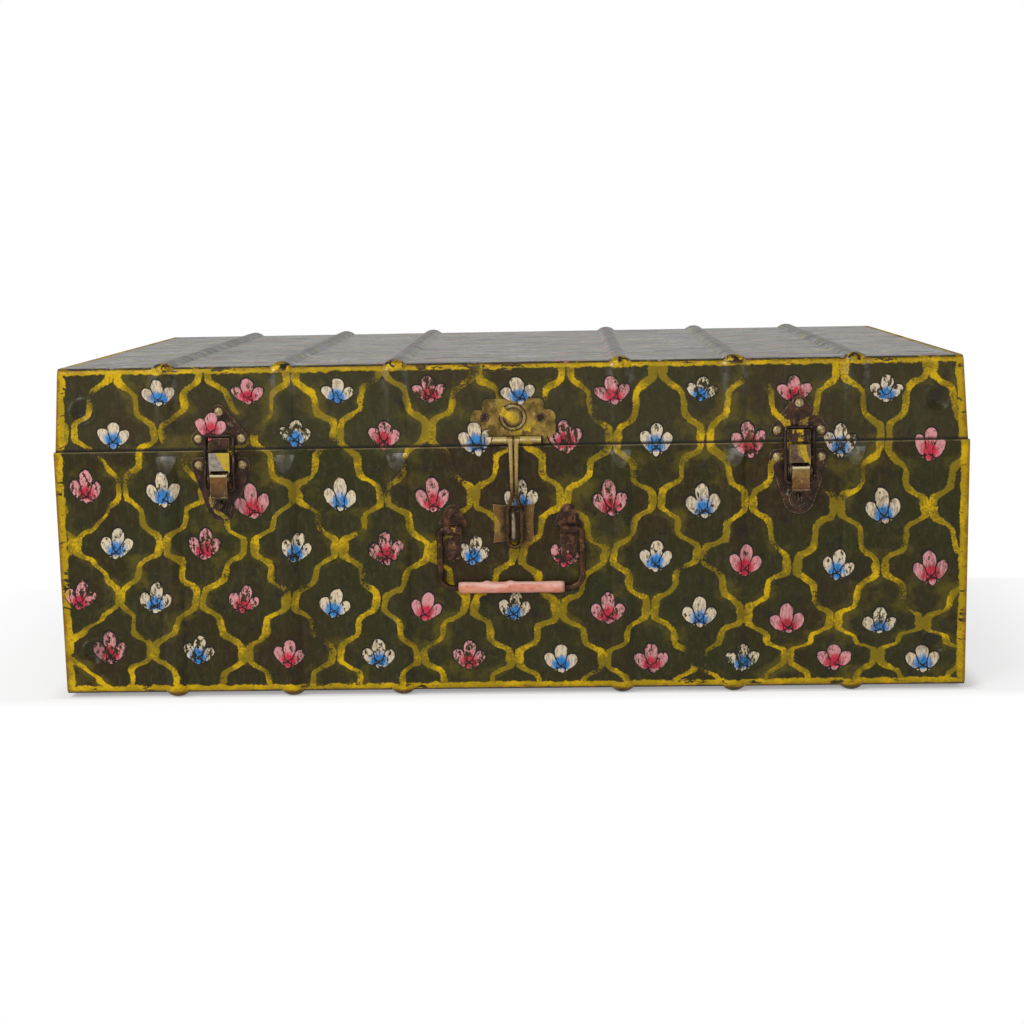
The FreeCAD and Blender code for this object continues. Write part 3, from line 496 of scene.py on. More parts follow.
    def draw_flowers(self, across, row):
        """Three petals, two small ones and a dot, chipped by chance, with dark brush lines round them."""
        column, count, p, q, chance = self.find_flower(across, row)
        petals = {name: self.petal(p, q, *shape) for name, shape in PETALS.items()}
        body = self.lowest(*petals.values())
        shape = (body + (self.grain - 0.5) * 0.22).step(1.05, 0.93)
        worn_middle = petals["middle"].step(1, 0.2) * (chance[0] > 0.45) * 0.05
        chip = self.noise(3.6, 41, detail=5, rough=0.7, stretch=(0.8, 1, 1.5)) - worn_middle
        left = (chip + chance[1] * 0.17 + (self.grain - 0.5) * 0.3).step(0.475, 0.525)
        shown = 1 - self.missing(column, count)
        self.flower = shape * left * shown
        self.near_flower = body.step(1.7, 1.15) * shown
        self.flower_colour = self.petal_colour(column, count, p, q, chance)
        around = self.lowest(*[abs(petals[name] - edge) * thin for name, edge, thin in OUTLINED])
        drawn = (around + (self.grain - 0.5) * 0.4).step(0.74, 0.28)
        self.outline = drawn * self.patches(0.38, 0.44, 8, 71) * shown


class Painting:
    """The brushwork laid on one finish."""

    def __init__(self, finish, settings, across, row):
        self.finish = finish
        self.colour = settings.colour
        group = bpy.data.node_groups.get(Brushwork.NAME)
        if group is None:
            group = Brushwork(settings).tree
        laid = finish.node("ShaderNodeGroup", {"node_tree": group}, {"across": across, "row": row})
        for name in Brushwork.SHARES:
            setattr(self, name, Value(finish, laid.outputs[name]))
        self.flower_colour = laid.outputs["flower_colour"]

    def over(self, ground, border=None):
        """The painting over a ground colour, and the share of the surface that it covers."""
        finish = self.finish
        lattice = self.lattice * (1 - self.near_flower)
        thin = (self.grain * 0.55 + finish.noise(15, 81, detail=2) * 0.9).step(0.53, 0.80)
        if border is not None:
            lattice = finish.highest(lattice, border)
            thin = thin * (1 - border * 0.5)
        yellow = finish.blend(thin, self.colour.yellow, self.colour.yellow_thin)
        flecks = finish.patches(0.60, 0.66, 2.4, 87, detail=4, rough=0.75)
        colour = finish.blend(lattice * (1 - thin * 0.35) * (1 - flecks * 0.85), ground, yellow)
        colour = finish.blend(self.flower, colour, self.flower_colour)
        colour = finish.blend(self.outline, colour, self.colour.outline)
        return colour, finish.highest(lattice, self.flower)


class CasePaint(Finish):
    """The paint of the case outside, and its primer inside."""

    def __init__(self, settings, name):
        super().__init__(name)
        self.paints, self.brush = settings.colour, settings.brush
        self.upper = self.z > RIM
        self.worn_edge = self.noise(7, 91, detail=3, rough=0.65)
        self.scuff = self.patches(0.66, 0.72, 3.2, 103, detail=5, rough=0.75, stretch=(2.5, 1, 1))
        self.painting = Painting(self, settings, *self.lay_out())

    def handled(self):
        """Where hands reach, round the latches and the handle."""
        x, z = self.x, self.z
        by_latch = abs(abs(x) - LATCH).step(40, 14) * abs(z - RIM).step(60, 20)
        by_handle = abs(x - HASP).step(75, 30) * abs(z - RIM + 40).step(70, 25)
        return self.highest(by_latch, by_handle) * (MIDDLE > self.y)

    def make_ground(self):
        """The dark ground, browned where it is handled, with stains, brush marks, scrapes and specks, and
        painted light that makes the lid's ground lighter.
        """
        paints = self.paints
        browned = self.noise(60, 2, detail=4, rough=0.7) + self.handled() * 0.12
        self.tone = self.blend(browned.step(0.38, 0.72) * 0.85, paints.ground, paints.ground_brown)
        stain = self.noise(38, 9, detail=4, rough=0.7) + self.painting.by_lattice * 0.08
        self.lay(stain.step(0.55, 0.74) * 0.6, paints.stain)
        brushed = self.patches(0.44, 0.76, 3.4, 12, detail=4, rough=0.75, stretch=(1, 1, 2.4))
        self.lay(brushed * 0.34, paints.haze_and_lid_light)
        self.lay(self.patches(0.54, 0.66, 10, 15, detail=4, rough=0.75) * 0.65, paints.outline)
        self.lay(self.patches(0.66, 0.72, 1.5, 14) * 0.45, paints.haze_and_lid_light)
        # Painted light: the lid's ground is made lighter, as the lid leans back and catches more light.
        self.lay(self.upper * 0.14, paints.haze_and_lid_light)

    def make_border(self):
        """The yellow border along the edges, ragged and flaked, and narrower under the lid's top."""
        narrowed = self.z.step(LID_TOP - 9, LID_TOP - 5) * 1.4
        ragged = self.edge + (self.worn_edge - 0.5) * 5 + narrowed
        width = self.brush.border
        flaked = self.patches(0.38, 0.43, 10, 95, detail=4, rough=0.7, stretch=(3, 3, 1))
        return ragged.step(width + 0.5, width - 0.5) * flaked

    def paint_outside(self):
        """The painting, browned along the edges, rubbed at the rim with a painted highlight there, and a
        painted shadow along the lid's lower edge.
        """
        self.make_ground()
        self.ground, self.border = self.tone, self.make_border()
        self.tone, self.covered = self.painting.over(self.ground, self.border)
        browned = (self.edge + (self.worn_edge - 0.5) * 8).step(3.2, 0.2)
        self.lay(browned * 0.75, (0.17, 0.070, 0.007))
        self.wear_and_shade()
        # The body's lip: rubbed metal, and a painted highlight along its ledge.
        lip = abs(self.z - RIM + 0.35).step(0.65, 0.25) * (1 - self.upper)
        rubbed = lip * self.patches(0.36, 0.50, 12, 99, detail=3)
        self.lay(rubbed * 0.18, self.paints.rubbed)
        # Painted shadow: a dark band along the lid's lower edge, over the gap between lid and body.
        grime = (self.z - RIM).step(3, 1) * self.upper
        self.lay(grime * 0.9, self.paints.outline)
        self.lay(self.scuff * 0.5, self.paints.iron)

    def inner_colour(self):
        """Dull primer with some rust."""
        primer = self.noise(40, 107, detail=4)
        primer = self.blend(primer, (0.075, 0.068, 0.050), (0.135, 0.120, 0.088))
        return self.blend(self.patches(0.60, 0.68, 16, 109, detail=4), primer, self.paints.rust)

    def wear_and_shade(self):
        """Nothing more than what all the paint has. The wraps add worn places and painted shade of their
        own.
        """

    def relief(self):
        """Slow waves of the sheet, small bumps and the paint's grain, in mm."""
        waves = (self.noise(58, 113, detail=1) - 0.5) * 3.4
        bumps = (self.noise(9, 117) - 0.5) * 0.22
        return waves + bumps + (self.painting.grain - 0.5) * 0.12

    def roughness(self):
        rough = 0.21 + self.noise(24, 121, detail=4, rough=0.65) * 0.16 + self.covered * 0.07
        return rough + (1 - self.outside) * 0.15 + self.scuff * 0.25

    def shine(self):
        return {"Specular IOR Level": 0.14}

    def closed(self):
        self.paint_outside()
        self.tone = self.blend(self.outside, self.inner_colour(), self.tone)
        return self.finished(self.roughness(), 0, self.relief(), 0.75, self.shine())


class EndPaint(CasePaint):
    """The paint of the end panels."""

    def lay_out(self):
        """Finds the outer side and the way to the nearest edge. Gives the place in the painter's grid."""
        y, z = self.y, self.z
        self.outside = self.facing[0] * self.x > 0
        self.edge = self.lowest(y - FRONT, BACK - y, z - FLOOR_EDGE, LID_TOP - z)
        return y - MIDDLE + FLOWER_START, row_on_wall(self, z)


class WrapPaint(CasePaint):
    """The paint of the two ribbed wraps, worn along their ribs and fainter on top."""

    def __init__(self, settings, name):
        super().__init__(settings, name)
        self.painting.flower = self.painting.flower * (1 - self.on_top * 0.62)
        self.painting.lattice = self.painting.lattice * (1 - self.on_top * 0.5)
        self.off_rib = self.lowest(*[abs(abs(self.x) - share * BODY_HALF) for share in RIB_SHARES])
        self.front_dents = self.round_dents(308, self.z, (213, 35), 9, 4.2)
        self.top_dents = self.round_dents(300, self.y, (FRONT + 30, BACK - 30), 13, 1.6)
        # Ridges of the top's ribs, to be darkened as worn places and as painted shade.
        off_ridge = self.off_rib + (self.worn_edge - 0.5) * 9
        self.ridge = off_ridge.step(6.5, 2.5) * self.on_top * 0.55
        smears = self.patches(0.50, 0.60, 24, 129, detail=5, rough=0.7, stretch=(1.8, 1, 1))
        self.smears = smears * self.on_top * 0.6

    def lay_out(self):
        """Finds the outer side and the way to the nearest edge. Gives the place in the painter's grid."""
        x, y, z = self.x, self.y, self.z
        _, facing_y, facing_z = self.facing
        self.on_top = facing_z > 0.62
        self.outside = facing_y * (y - MIDDLE) + facing_z * (z - RIM * 0.65) > 0
        half = BODY_HALF - self.upper * (BODY_HALF - LID_HALF + (z - RIM) * LID_LEAN)
        wall_edge = self.lowest(z - FLOOR_EDGE, LID_TOP - z)
        top_edge = self.lowest(y - FRONT + 3, BACK + 3 - y)
        self.edge = self.lowest(half - abs(x), wall_edge + self.on_top * (top_edge - wall_edge))
        across, wall_row = front_grid(self)
        first_gap = ROW_LEVELS[0] - ROW_LEVELS[1]
        top_row = (ROW_LEVELS[0] - LID_TOP) / first_gap - (y - FRONT) / self.brush.row_pitch
        return across, wall_row + self.on_top * (top_row - wall_row)

    def round_dents(self, side, along, levels, radius, depth):
        """Dents at both sides and at levels: their relief, and how near a place is to a dent's middle."""
        relief, hollow = 0, 0
        for middle in (-side, side):
            for level in levels:
                away = self.distance(self.x - middle, along - level)
                sunk = away.step(radius, radius * 0.15)
                raised = abs(away - radius).step(radius * 0.3, 0)
                relief = relief + raised * (depth * 0.3) - sunk * depth
                hollow = hollow + sunk
        return relief, hollow

    def wear_and_shade(self):
        """Painted shade in the dents, yellow crowns chipped to the iron, bare feet, ridges on top darkened
        as worn places and as painted shade, and smears on top.
        """
        paints = self.paints
        # Painted shade: the dents are darkened, most on the top.
        hollow = self.front_dents[1] * 0.45
        hollow = hollow + (self.top_dents[1] * 0.85 - hollow) * self.on_top
        self.lay(hollow, paints.outline)
        by_edge = abs(self.z - LID_TOP - 0.5).step(5.5, 2.5) * self.y.step(FRONT + 8, FRONT + 3)
        crown = (self.off_rib + (self.worn_edge - 0.5) * 6).step(7, 5) * by_edge
        yellow = self.blend(self.worn_edge.step(0.40, 0.60), paints.yellow, paints.yellow_thin)
        self.lay(crown, yellow)
        foot = self.z.step(FLOOR_EDGE + 3, FLOOR_EDGE - 0.5) * self.off_rib.step(8, 5)
        chipped = crown * self.patches(0.50, 0.55, 7, 93, detail=3, rough=0.6)
        bare = self.blend(self.worn_edge.step(0.42, 0.62), paints.outline, paints.iron)
        # Chips, feet and smears are worn places; the ridges on top are darkened both as worn places and as
        # painted shade.
        self.lay(self.highest(chipped, foot * 0.75, self.ridge, self.smears), bare)

    def paint_outside(self):
        """The painting, scraped to ground and rust underneath."""
        super().paint_outside()
        scraped = self.blend(self.worn_edge.step(0.45, 0.60), self.ground, self.paints.rust)
        self.lay(-0.62 > self.facing[2], scraped)

    def relief(self):
        """The sheet's relief with its dents, and hammer marks on top."""
        hammered = (self.noise(15, 119, detail=4, rough=0.6) - 0.5) * 3.6
        relief = super().relief() + self.front_dents[0] * (1 - self.on_top)
        return relief + (self.top_dents[0] + hammered) * self.on_top

    def roughness(self):
        rough = super().roughness() + self.ridge * 0.12 + self.smears * 0.06
        return rough + self.border * self.on_top * 0.3

    def shine(self):
        """A cloudy gloss on the sheet below the rim at each rib, and on the ribs' flanks on the lid."""
        loose = (self.noise(8, 127) - 0.5) * 12
        ramps = (self.off_rib + loose).step(12, 3) * (1 - self.upper)
        ramps = ramps * (self.z + loose).step(RIM - 15, RIM)
        flanks = abs(self.off_rib - 7).step(4.5, 1) * self.upper * (1 - self.on_top)
        flanks = flanks * self.z.step(LID_TOP - 34, LID_TOP - 8)
        polish = self.highest(ramps * 0.8, flanks) * self.patches(0.34, 0.66, 6, 125, detail=3)
        return {**super().shine(), "Coat Weight": polish, "Coat Roughness": 0.14}


def worn_metal(
    settings, name, pieces, base, paint=0, metal=0.75, rusty=0.5, shine=0.42, edge=0.5,
    detail=None, kept=(),
):
    """Dresses pieces in old iron or brass with tarnish, rust, rubbed places, dirt and painted shade in
    creases, and traces of the paint.

    The paint is whole at the kept places, each given as x, z and radius."""
    finish = Finish(name)
    colour = settings.colour
    tarnish = finish.noise(9, 3, detail=4, rough=0.65)
    shade = [0.30 * channel for channel in base]
    finish.tone = finish.blend(tarnish.step(0.38, 0.64), shade, base)
    rust = (finish.noise(6, 13, detail=5, rough=0.7) + rusty * 0.25).step(0.62, 0.74)
    finish.lay(rust * 0.8, colour.rust)
    if detail is not None:
        detail(finish)
    rubbed = finish.patches(0.60, 0.72, 2.6, 23, detail=4, rough=0.7, stretch=(1, 1, 2.2)) * edge
    soft, rim = finish.rounded(0.45)
    rubbed = finish.highest(rubbed, rim * tarnish.step(0.34, 0.52) * min(1, edge + 0.35))
    finish.lay(rubbed, colour.rubbed)
    # Dirt and painted shade: creases darkened by ambient occlusion.
    finish.lay(finish.crease_dirt_and_shade(2.5).step(0.18, 0.75) * 0.85, colour.outline)
    metallic = (1 - rust * 0.8) * metal
    if paint:
        painting = Painting(finish, settings, *front_grid(finish))
        over, covered = painting.over(finish.tone)
        least = 0.72 - paint * 0.4
        left = finish.patches(least, least + 0.04, 8, 33, detail=4, rough=0.6)
        for u, v, radius in kept:
            off = finish.distance(finish.x - u, finish.z - v)
            left = finish.highest(left, (off + (tarnish - 0.5) * 8).step(radius + 1, radius - 1))
        finish.lay(left, over)
        metallic = metallic * (1 - covered * left)
    rough = shine + (tarnish - 0.5) * 0.25 + rust * 0.22
    relief = (finish.noise(1.8, 43, detail=4, rough=0.7) - 0.5) * 0.10 + rust * 0.03
    dress(finish.finished(rough, metallic, relief, 0.7, {"Specular IOR Level": 0.3}, soft), *pieces)


def channel_steel(finish):
    """The raised channel's face: clean steel on the left latch, browner on the right."""
    x, z = finish.x, finish.z
    raised = abs(abs(x) - LATCH).step(7.9, 7.3) * (FRONT - 5 > finish.y)
    face = raised * z.step(RIM - 15.5, RIM - 14.5)
    mottled = finish.patches(0.35, 0.65, 3, 51, detail=4, rough=0.7)
    left = finish.blend(mottled, (0.20, 0.17, 0.13), (0.36, 0.32, 0.26))
    right = finish.blend(mottled, (0.055, 0.030, 0.017), (0.16, 0.10, 0.055))
    on_right = x > 0
    finish.lay(face * 0.9, finish.blend(on_right, left, right))
    slant = x + LATCH + (z - RIM + 8) * 0.55 > 1
    catch = raised * abs(z - RIM - 6.5).step(7.5, 6.5)
    brown = finish.blend(mottled, (0.070, 0.036, 0.018), (0.15, 0.085, 0.045))
    olive = finish.blend(mottled, (0.055, 0.042, 0.016), (0.16, 0.115, 0.050))
    finish.lay(catch * 0.85, finish.blend(on_right, brown, olive))
    bend = (z - RIM - 1) * (z - RIM - 1) * 0.018
    stripe = abs(x - LATCH - 1.6 - bend).step(2.7, 2) * mottled.step(-0.2, 0.2)
    paint = finish.highest(slant * face * (1 - on_right), stripe * finish.highest(face, catch))
    finish.lay(paint * (mottled * 0.3 + 0.7), (0.50, 0.33, 0.01))


def lever_bronze(finish):
    """The levers' faces: brown on the left and gold on the right, each darker towards the bottom, with a
    pale band along the top.
    """
    fall = (LEVER_HIGH.z - finish.z) / (LEVER_HIGH.z - LEVER_LOW.z)
    mottled = (finish.noise(3.4, 53, detail=4, rough=0.75) - 0.5) * 2.6
    browner = (fall + mottled).step(0, 0.95)
    left = finish.blend(browner, (0.165, 0.066, 0.011), (0.052, 0.017, 0.005))
    right = finish.blend(browner, (0.25, 0.155, 0.035), (0.125, 0.040, 0.008))
    finish.lay(0.8, finish.blend(finish.x > 0, left, right))
    finish.lay((fall + mottled * 0.02).step(0.12, 0.05) * 0.85, (0.62, 0.52, 0.32))


def rivet_brass(finish):
    """The latches' rivets: pale yellow, browned in patches."""
    patchy = finish.patches(0.40, 0.58, 1.7, 59, detail=3, rough=0.7)
    finish.lay(0.75, finish.blend(patchy, (0.16, 0.085, 0.022), (0.46, 0.36, 0.16)))


def staple_tarnish(finish):
    """The staple's plate: yellowed at its sides and dark in the middle."""
    side = (abs(finish.x - HASP) + (finish.noise(4, 63, detail=3) - 0.5) * 9).step(6.5, 12.5)
    finish.lay(0.8, finish.blend(side, (0.026, 0.012, 0.005), (0.165, 0.082, 0.013)))


def hasp_brass(finish):
    """The hasp plate's pale barrels, painted lighter above the axle and darker below, with painted shade
    at the feet of the boss's rings and a painted highlight on a crest.
    """
    barrel = abs(finish.z - HASP_AXLE).step(3.4, 2.6) * (FRONT - 2.5 > finish.y)
    patchy = finish.patches(0.36, 0.60, 5, 55, detail=3)
    # Painted light and shade: the barrels lighter above their axle and darker below it.
    lit = finish.z.step(HASP_AXLE - 1.9, HASP_AXLE + 0.6)
    rolled = finish.blend(lit, (0.11, 0.055, 0.010), (0.52, 0.42, 0.18))
    finish.lay(barrel * (patchy * 0.3 + 0.6), rolled)
    away = finish.distance(finish.x - HASP, finish.z - BOSS)
    # Painted shade at the feet of the boss's rings, and a painted highlight on the middle ring's crest.
    ring = abs(away - 8.2).step(1, 0.3) * patchy
    foot = finish.highest(abs(away - 9.6).step(1, 0.3), abs(away - 6.9).step(1, 0.3))
    finish.lay(foot * 0.75, (0.030, 0.019, 0.008))
    finish.lay(ring * 0.45, (0.44, 0.33, 0.13))
    finish.lay(away.step(5.8, 4.2) * patchy * 0.55, (0.46, 0.32, 0.05))


def arm_brass(finish):
    """The hasp's arm is bright above and dark round its eye, with painted shade along the groove between
    its rods.
    """
    fall = (finish.z + (finish.noise(7, 57) - 0.5) * 14).step(RIM - 40, RIM - 12)
    finish.lay(0.8, finish.blend(fall, (0.050, 0.025, 0.009), (0.46, 0.32, 0.11)))
    # Painted shade along the groove between the arm's two rods.
    groove = abs(finish.x - HASP).step(1.3, 0.5) * (finish.z > RIM - 36)
    finish.lay(groove * 0.8, (0.05, 0.028, 0.010))


def dress(material, *names):
    """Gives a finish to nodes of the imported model."""
    for name in names:
        for slot in NODES[name].material_slots:
            slot.material = material


def both(name):
    return name + "_left", name + "_right"


class TRUNK_OT_case(Operator):
    """Paint the wraps and end panels of the body and the lid"""

    bl_idname = "trunk.case"
    bl_label = "Paint the Case"

    def execute(self, context):
        settings = context.scene.trunk
        dress(WrapPaint(settings, "wrap_paint").closed(), "body_wrap", "lid_wrap")
        dress(EndPaint(settings, "end_paint").closed(), *both("body_end"), *both("lid_end"))
        return {"FINISHED"}


class TRUNK_OT_rim(Operator):
    """Finish the collar inside the body's mouth"""

    bl_idname = "trunk.rim"
    bl_label = "Finish the Rim Collar"

    def execute(self, context):
        settings = context.scene.trunk
        iron = settings.colour.iron
        worn_metal(settings, "collar_steel", ["rim_collar"], iron, metal=0.6, rusty=0.4)
        return {"FINISHED"}


class TRUNK_OT_latches(Operator):
    """Finish the keepers, bases, levers, loops, axles and rivets of the two latches"""

    bl_idname = "trunk.latches"
    bl_label = "Finish the Latches"

    def execute(self, context):
        settings = context.scene.trunk
        colour = settings.colour
        plates = [*both("keeper"), *both("latch_base")]
        worn_metal(
            settings, "latch_plate_iron", plates, colour.iron, paint=0.55, metal=0.35, rusty=0.25,
            shine=0.40, edge=0.55, detail=channel_steel, kept=[(-LATCH - 4, RIM + 21, 13)],
        )
        worn_metal(
            settings, "lever_bronze", both("latch_lever"), (0.22, 0.15, 0.06), metal=0.4,
            rusty=0.45, shine=0.36, edge=0.6, detail=lever_bronze,
        )
        wires = [*both("latch_loop"), *both("lever_pin")]
        worn_metal(
            settings, "loop_wire", wires, (0.050, 0.029, 0.022), metal=0.6, rusty=0.2, shine=0.34,
            edge=0.45,
        )
        worn_metal(
            settings, "latch_rivets", ["keeper_rivets", "latch_base_rivets"], colour.rivet,
            metal=0.45, rusty=0.2, shine=0.4, detail=rivet_brass,
        )
        return {"FINISHED"}


class TRUNK_OT_hasp(Operator):
    """Finish the hasp's plate, arm, pin and rivets"""

    bl_idname = "trunk.hasp"
    bl_label = "Finish the Hasp"

    def execute(self, context):
        settings = context.scene.trunk
        colour = settings.colour
        worn_metal(
            settings, "hasp_plate_brass", ["hasp_plate", "hasp_pin"], colour.brass, paint=0.6,
            metal=0.55, rusty=0.2, shine=0.34, edge=0.65, detail=hasp_brass,
            kept=[(HASP - 30, RIM + 6, 9), (HASP, BOSS, 4.5)],
        )
        worn_metal(
            settings, "hasp_arm_steel", ["hasp_arm"], (0.22, 0.15, 0.06), metal=0.85, rusty=0.3,
            shine=0.27, edge=0.6, detail=arm_brass,
        )
        worn_metal(
            settings, "hasp_rivet_iron", ["hasp_rivets"], colour.iron, metal=0.7, rusty=0.4, shine=0.4
        )
        return {"FINISHED"}


class TRUNK_OT_staple(Operator):
    """Finish the staple, its flared plate and its rivets"""

    bl_idname = "trunk.staple"
    bl_label = "Finish the Staple"

    def execute(self, context):
        settings = context.scene.trunk
        worn_metal(
            settings, "staple_plate_iron", ["staple_plate", "staple_rivets"], (0.13, 0.065, 0.022),
            paint=0.5, metal=0.4, rusty=0.35, shine=0.42, edge=0.7, detail=staple_tarnish,
        )
        worn_metal(
            settings, "staple_rod_iron", ["staple"], (0.30, 0.24, 0.16), metal=0.85, rusty=0.3,
            shine=0.36,
        )
        return {"FINISHED"}


class TRUNK_OT_handle(Operator):
    """Finish the bail, its brackets and rivets, and make the sleeve on it"""

    bl_idname = "trunk.handle"
    bl_label = "Make the Handle's Sleeve"

    def execute(self, context):
        settings = context.scene.trunk
        worn_metal(
            settings, "bail_rod_iron", ["handle_bail"], (0.085, 0.040, 0.017), metal=0.6, rusty=0.3,
            shine=0.33, edge=0.45,
        )
        straps = [*both("handle_bracket"), "handle_rivets"]
        worn_metal(
            settings, "bracket_iron", straps, settings.colour.iron, paint=0.35, metal=0.5,
            rusty=0.5, shine=0.4, edge=0.3,
        )
        sleeve = grip_sleeve()
        sleeve.data.materials.append(grip_finish(settings))
        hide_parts("handle_grip")
        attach(sleeve, "handle")
        return {"FINISHED"}


def grip_finish(settings):
    """Faded salmon plastic, grimy in its creases, with a painted highlight along its top."""
    finish = Finish("grip_plastic")
    colour = settings.colour
    streak = finish.noise(7, 5, detail=4, rough=0.6, stretch=(3, 1, 0.6))
    pale = [min(1, 0.12 + channel * 0.85) for channel in colour.grip]
    deep = [channel * share for channel, share in zip(colour.grip, (0.85, 0.62, 0.55))]
    clouds = finish.patches(0.40, 0.62, 5, 9, detail=4, rough=0.7)
    finish.tone = finish.blend(clouds, colour.grip, deep)
    finish.lay(streak.step(0.40, 0.68), pale)
    middle = (GRIP_LOW + GRIP_HIGH) / 2 * MM
    # Painted highlight: the top of the sleeve is made paler.
    rubbed = (finish.z - middle.z + (streak - 0.5) * 8).step(1.2, 4.2)
    finish.lay(rubbed * 0.38, (0.80, 0.58, 0.50))
    low_left = (finish.x - middle.x).step(-12, -34) * (finish.z - middle.z).step(2.5, -2)
    finish.lay(low_left * 0.6, (0.60, 0.22, 0.075))
    grime = finish.patches(0.56, 0.72, 3, 17, detail=5, rough=0.7)
    ends = abs(finish.x - middle.x).step(34.5, 38)
    finish.lay(finish.highest(grime * 0.45, ends * 0.35), colour.rust)
    relief = (finish.noise(2.2, 23, detail=3) - 0.5) * 0.12
    return finish.finished(0.42 + (streak - 0.5) * 0.2, relief=relief)


def grip_sleeve():
    """A rolled sleeve with two lumps along its top, open at both ends round the bail."""
    low, high = GRIP_LOW, GRIP_HIGH
    length = high.x - low.x
    radius = (high.z - low.z) / 2
    mesh = bmesh.new()
    bmesh.ops.create_cone(
        mesh, cap_ends=False, segments=32, radius1=radius * 0.97, radius2=radius * 0.97,
        depth=length * 0.998,
    )
    lengthwise = [edge for edge in mesh.edges if abs(edge.verts[0].co.z - edge.verts[1].co.z) > length / 2]
    bmesh.ops.subdivide_edges(mesh, edges=lengthwise, cuts=46, use_grid_fill=True)
    for vertex in mesh.verts:
        along = vertex.co.z / length + 0.5
        upward = max(0, vertex.co.x / radius)
        lumps = ((0.30, 0.27, 0.030), (0.34, 0.49, 0.035))
        lump = sum(rise * math.exp(-(((along - middle) / width) ** 2)) for rise, middle, width in lumps)
        waist = -0.10 * math.sin(math.pi * along) + 0.03 * math.sin(along * 23)
        rim = -0.10 * max(0, 1 - min(along, 1 - along) / 0.015)
        scale = 1 + waist * 0.6 + rim + lump * upward ** 3
        vertex.co.x *= scale
        vertex.co.y *= scale
    turn = Matrix.Rotation(math.pi, 3, "Z") @ Matrix.Rotation(-math.pi / 2, 3, "Y")
    bmesh.ops.rotate(mesh, verts=mesh.verts, cent=(0, 0, 0), matrix=turn)
    bmesh.ops.recalc_face_normals(mesh, faces=mesh.faces)
    bmesh.ops.solidify(mesh, geom=mesh.faces[:], thickness=radius * 0.42)
    bmesh.ops.translate(mesh, verts=mesh.verts, vec=(low + high) / 2)
    for face in mesh.faces:
        face.smooth = True
    return piece_from("grip_sleeve_rolled", mesh)


def piece_from(name, mesh):
    """A mesh made into an object whose place is in its mesh."""
    data = bpy.data.meshes.new(name)
    mesh.to_mesh(data)
    mesh.free()
    made = bpy.data.objects.new(name, data)
    bpy.context.scene.collection.objects.link(made)
    return made


class TRUNK_OT_hinges(Operator):
    """Finish the hinges at the back"""

    bl_idname = "trunk.hinges"
    bl_label = "Finish the Hinges"

    def execute(self, context):
        settings = context.scene.trunk
        colour = settings.colour
        leaves = [*both("hinge_body_leaf"), *both("hinge_lid_leaf")]
        worn_metal(
            settings, "hinge_iron", leaves, colour.iron, paint=0.55, metal=0.4, rusty=0.4,
            shine=0.4, edge=0.35,
        )
        pins = [*both("hinge_pin"), "hinge_body_rivets", "hinge_lid_rivets"]
        worn_metal(settings, "hinge_pin_steel", pins, colour.rubbed, metal=0.9, rusty=0.4)
        return {"FINISHED"}


class TRUNK_OT_stage(Operator):
    """Make the floor, the room's light, the lamps and the camera"""

    bl_idname = "trunk.stage"
    bl_label = "Set the Stage"

    def execute(self, context):
        stand = context.scene.trunk.stand
        make_floor(stand)
        make_room(context.scene, stand)
        make_lamp("key_lamp", (-1.5, -2, 2.4), (0, 0, 0.1), (1.1, 0.9), 40)
        make_lamp("front_box", (0.1, -2.5, 1.05), (0, 0, 0.15), (2.4, 0.30), 17)
        make_lamp("side_box", (-2.2, -1.3, 0.70), (0, 0, 0.12), (0.45, 1.1), 13)
        make_camera(context.scene, stand)
        return {"FINISHED"}


def seen_directly(nodes):
    """1 for rays from the camera, and for those that metal and glass reflect or let through."""
    path = nodes.node("ShaderNodeLightPath").outputs
    rays = [Value(nodes, path[name]) for name in ("Is Camera Ray", "Is Glossy Ray", "Is Transmission Ray")]
    return nodes.highest(*rays), rays[0]


def make_floor(stand):
    """A white floor that keeps the trunk's shadow near it and fades into the backdrop further off."""
    mesh = bmesh.new()
    bmesh.ops.create_grid(mesh, x_segments=1, y_segments=1, size=stand.floor_half)
    floor = piece_from("floor", mesh)
    finish = Finish("floor_white")
    side = finish.highest(abs(finish.x) - BODY_HALF, 0)
    ahead = finish.highest(abs(finish.y - MIDDLE) - (BACK - FRONT) / 2, 0)
    away = finish.distance(side, ahead * 8)
    share = 0.30 + 0.37 * away.step(0, 22) + 0.33 * away.step(-20, 220)
    share = seen_directly(finish)[0] * share
    matt = finish.node("ShaderNodeBsdfDiffuse", inputs={"Color": (0.90, 0.90, 0.90, 1)})
    white = finish.node("ShaderNodeEmission", inputs={"Color": (1, 1, 1, 1), "Strength": 1})
    mixed = finish.node("ShaderNodeMixShader", inputs={0: share, 1: matt.outputs[0], 2: white.outputs[0]})
    finish.node("ShaderNodeOutputMaterial", inputs={"Surface": mixed.outputs[0]})
    floor.data.materials.append(finish.material)


def make_room(scene, stand):
    """White behind the trunk, and a dimmer room in front that only gloss shows."""
    world = bpy.data.worlds.new("white_room")
    scene.world = world
    world.use_nodes = True
    world.node_tree.nodes.clear()
    room = Nodes(world.node_tree)
    seen, by_camera = seen_directly(room)
    backward = room.split(room.node("ShaderNodeTexCoord").outputs["Generated"])[1]
    behind = room.lowest(room.highest((backward + 0.35) / 0.6, 0), 1)
    shown = room.highest(by_camera, behind * (1 - stand.dim_room) + stand.dim_room)
    strength = (shown - stand.ambient) * seen + stand.ambient
    light = room.node("ShaderNodeBackground", inputs={"Color": (1, 1, 1, 1), "Strength": strength})
    room.node("ShaderNodeOutputWorld", inputs={"Surface": light.outputs[0]})


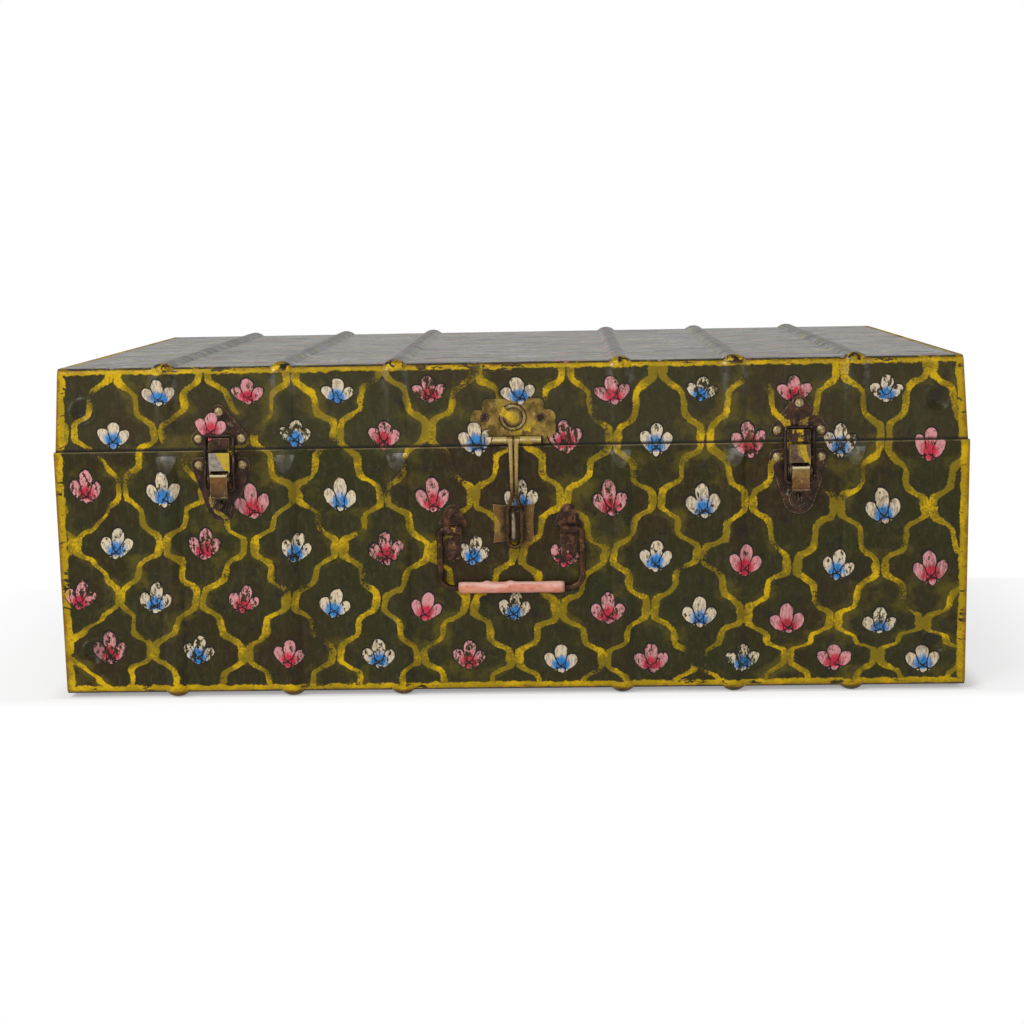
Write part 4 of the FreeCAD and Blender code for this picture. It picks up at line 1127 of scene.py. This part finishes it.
def make_lamp(name, place, target, size, power):
    data = bpy.data.lights.new(name, "AREA")
    data.shape = "RECTANGLE"
    data.size, data.size_y = size
    data.energy = power
    lamp = bpy.data.objects.new(name, data)
    place = Vector(place)
    turn = (Vector(target) - place).to_track_quat("-Z", "Y")
    lamp.matrix_world = Matrix.Translation(place) @ turn.to_matrix().to_4x4()
    bpy.context.scene.collection.objects.link(lamp)


def make_camera(scene, stand):
    data = bpy.data.cameras.new("camera")
    data.lens = stand.lens
    data.sensor_width = 36
    data.clip_end = 100
    camera = bpy.data.objects.new("camera", data)
    place = Matrix.Translation(stand.camera_place)
    for angle, axis in ((-stand.yaw, "Z"), (math.pi / 2 + stand.pitch, "X"), (stand.roll, "Z")):
        place = place @ Matrix.Rotation(angle, 4, axis)
    camera.matrix_world = place
    scene.collection.objects.link(camera)
    scene.camera = camera


class TRUNK_PT_tools(Panel):
    """The trunk's tools in the sidebar"""

    bl_label = "Painted Trunk"
    bl_idname = "TRUNK_PT_tools"
    bl_space_type = "VIEW_3D"
    bl_region_type = "UI"
    bl_category = "Trunk"

    def draw(self, context):
        layout = self.layout
        settings = context.scene.trunk
        for group in (settings.colour, settings.brush, settings.stand):
            box = layout.box()
            for name in group.__annotations__:
                box.prop(group, name)
        for tool in OPERATORS:
            layout.operator(tool.bl_idname)


OPERATORS = (
    TRUNK_OT_case,
    TRUNK_OT_rim,
    TRUNK_OT_latches,
    TRUNK_OT_hasp,
    TRUNK_OT_staple,
    TRUNK_OT_handle,
    TRUNK_OT_hinges,
    TRUNK_OT_stage,
)
GROUPS = (Colour, Brush, Stand, TrunkSettings)


def register():
    for kind in GROUPS + OPERATORS + (TRUNK_PT_tools,):
        bpy.utils.register_class(kind)
    bpy.types.Scene.trunk = PointerProperty(type=TrunkSettings)


def unregister():
    del bpy.types.Scene.trunk
    for kind in reversed(GROUPS + OPERATORS + (TRUNK_PT_tools,)):
        bpy.utils.unregister_class(kind)


def main():
    register()
    scene = bpy.context.scene
    scene.view_settings.view_transform = "Standard"
    bpy.ops.trunk.case()
    bpy.ops.trunk.rim()
    bpy.ops.trunk.latches()
    bpy.ops.trunk.hasp()
    bpy.ops.trunk.staple()
    bpy.ops.trunk.handle()
    bpy.ops.trunk.hinges()
    bpy.ops.trunk.stage()


if __name__ == "__main__":
    main()
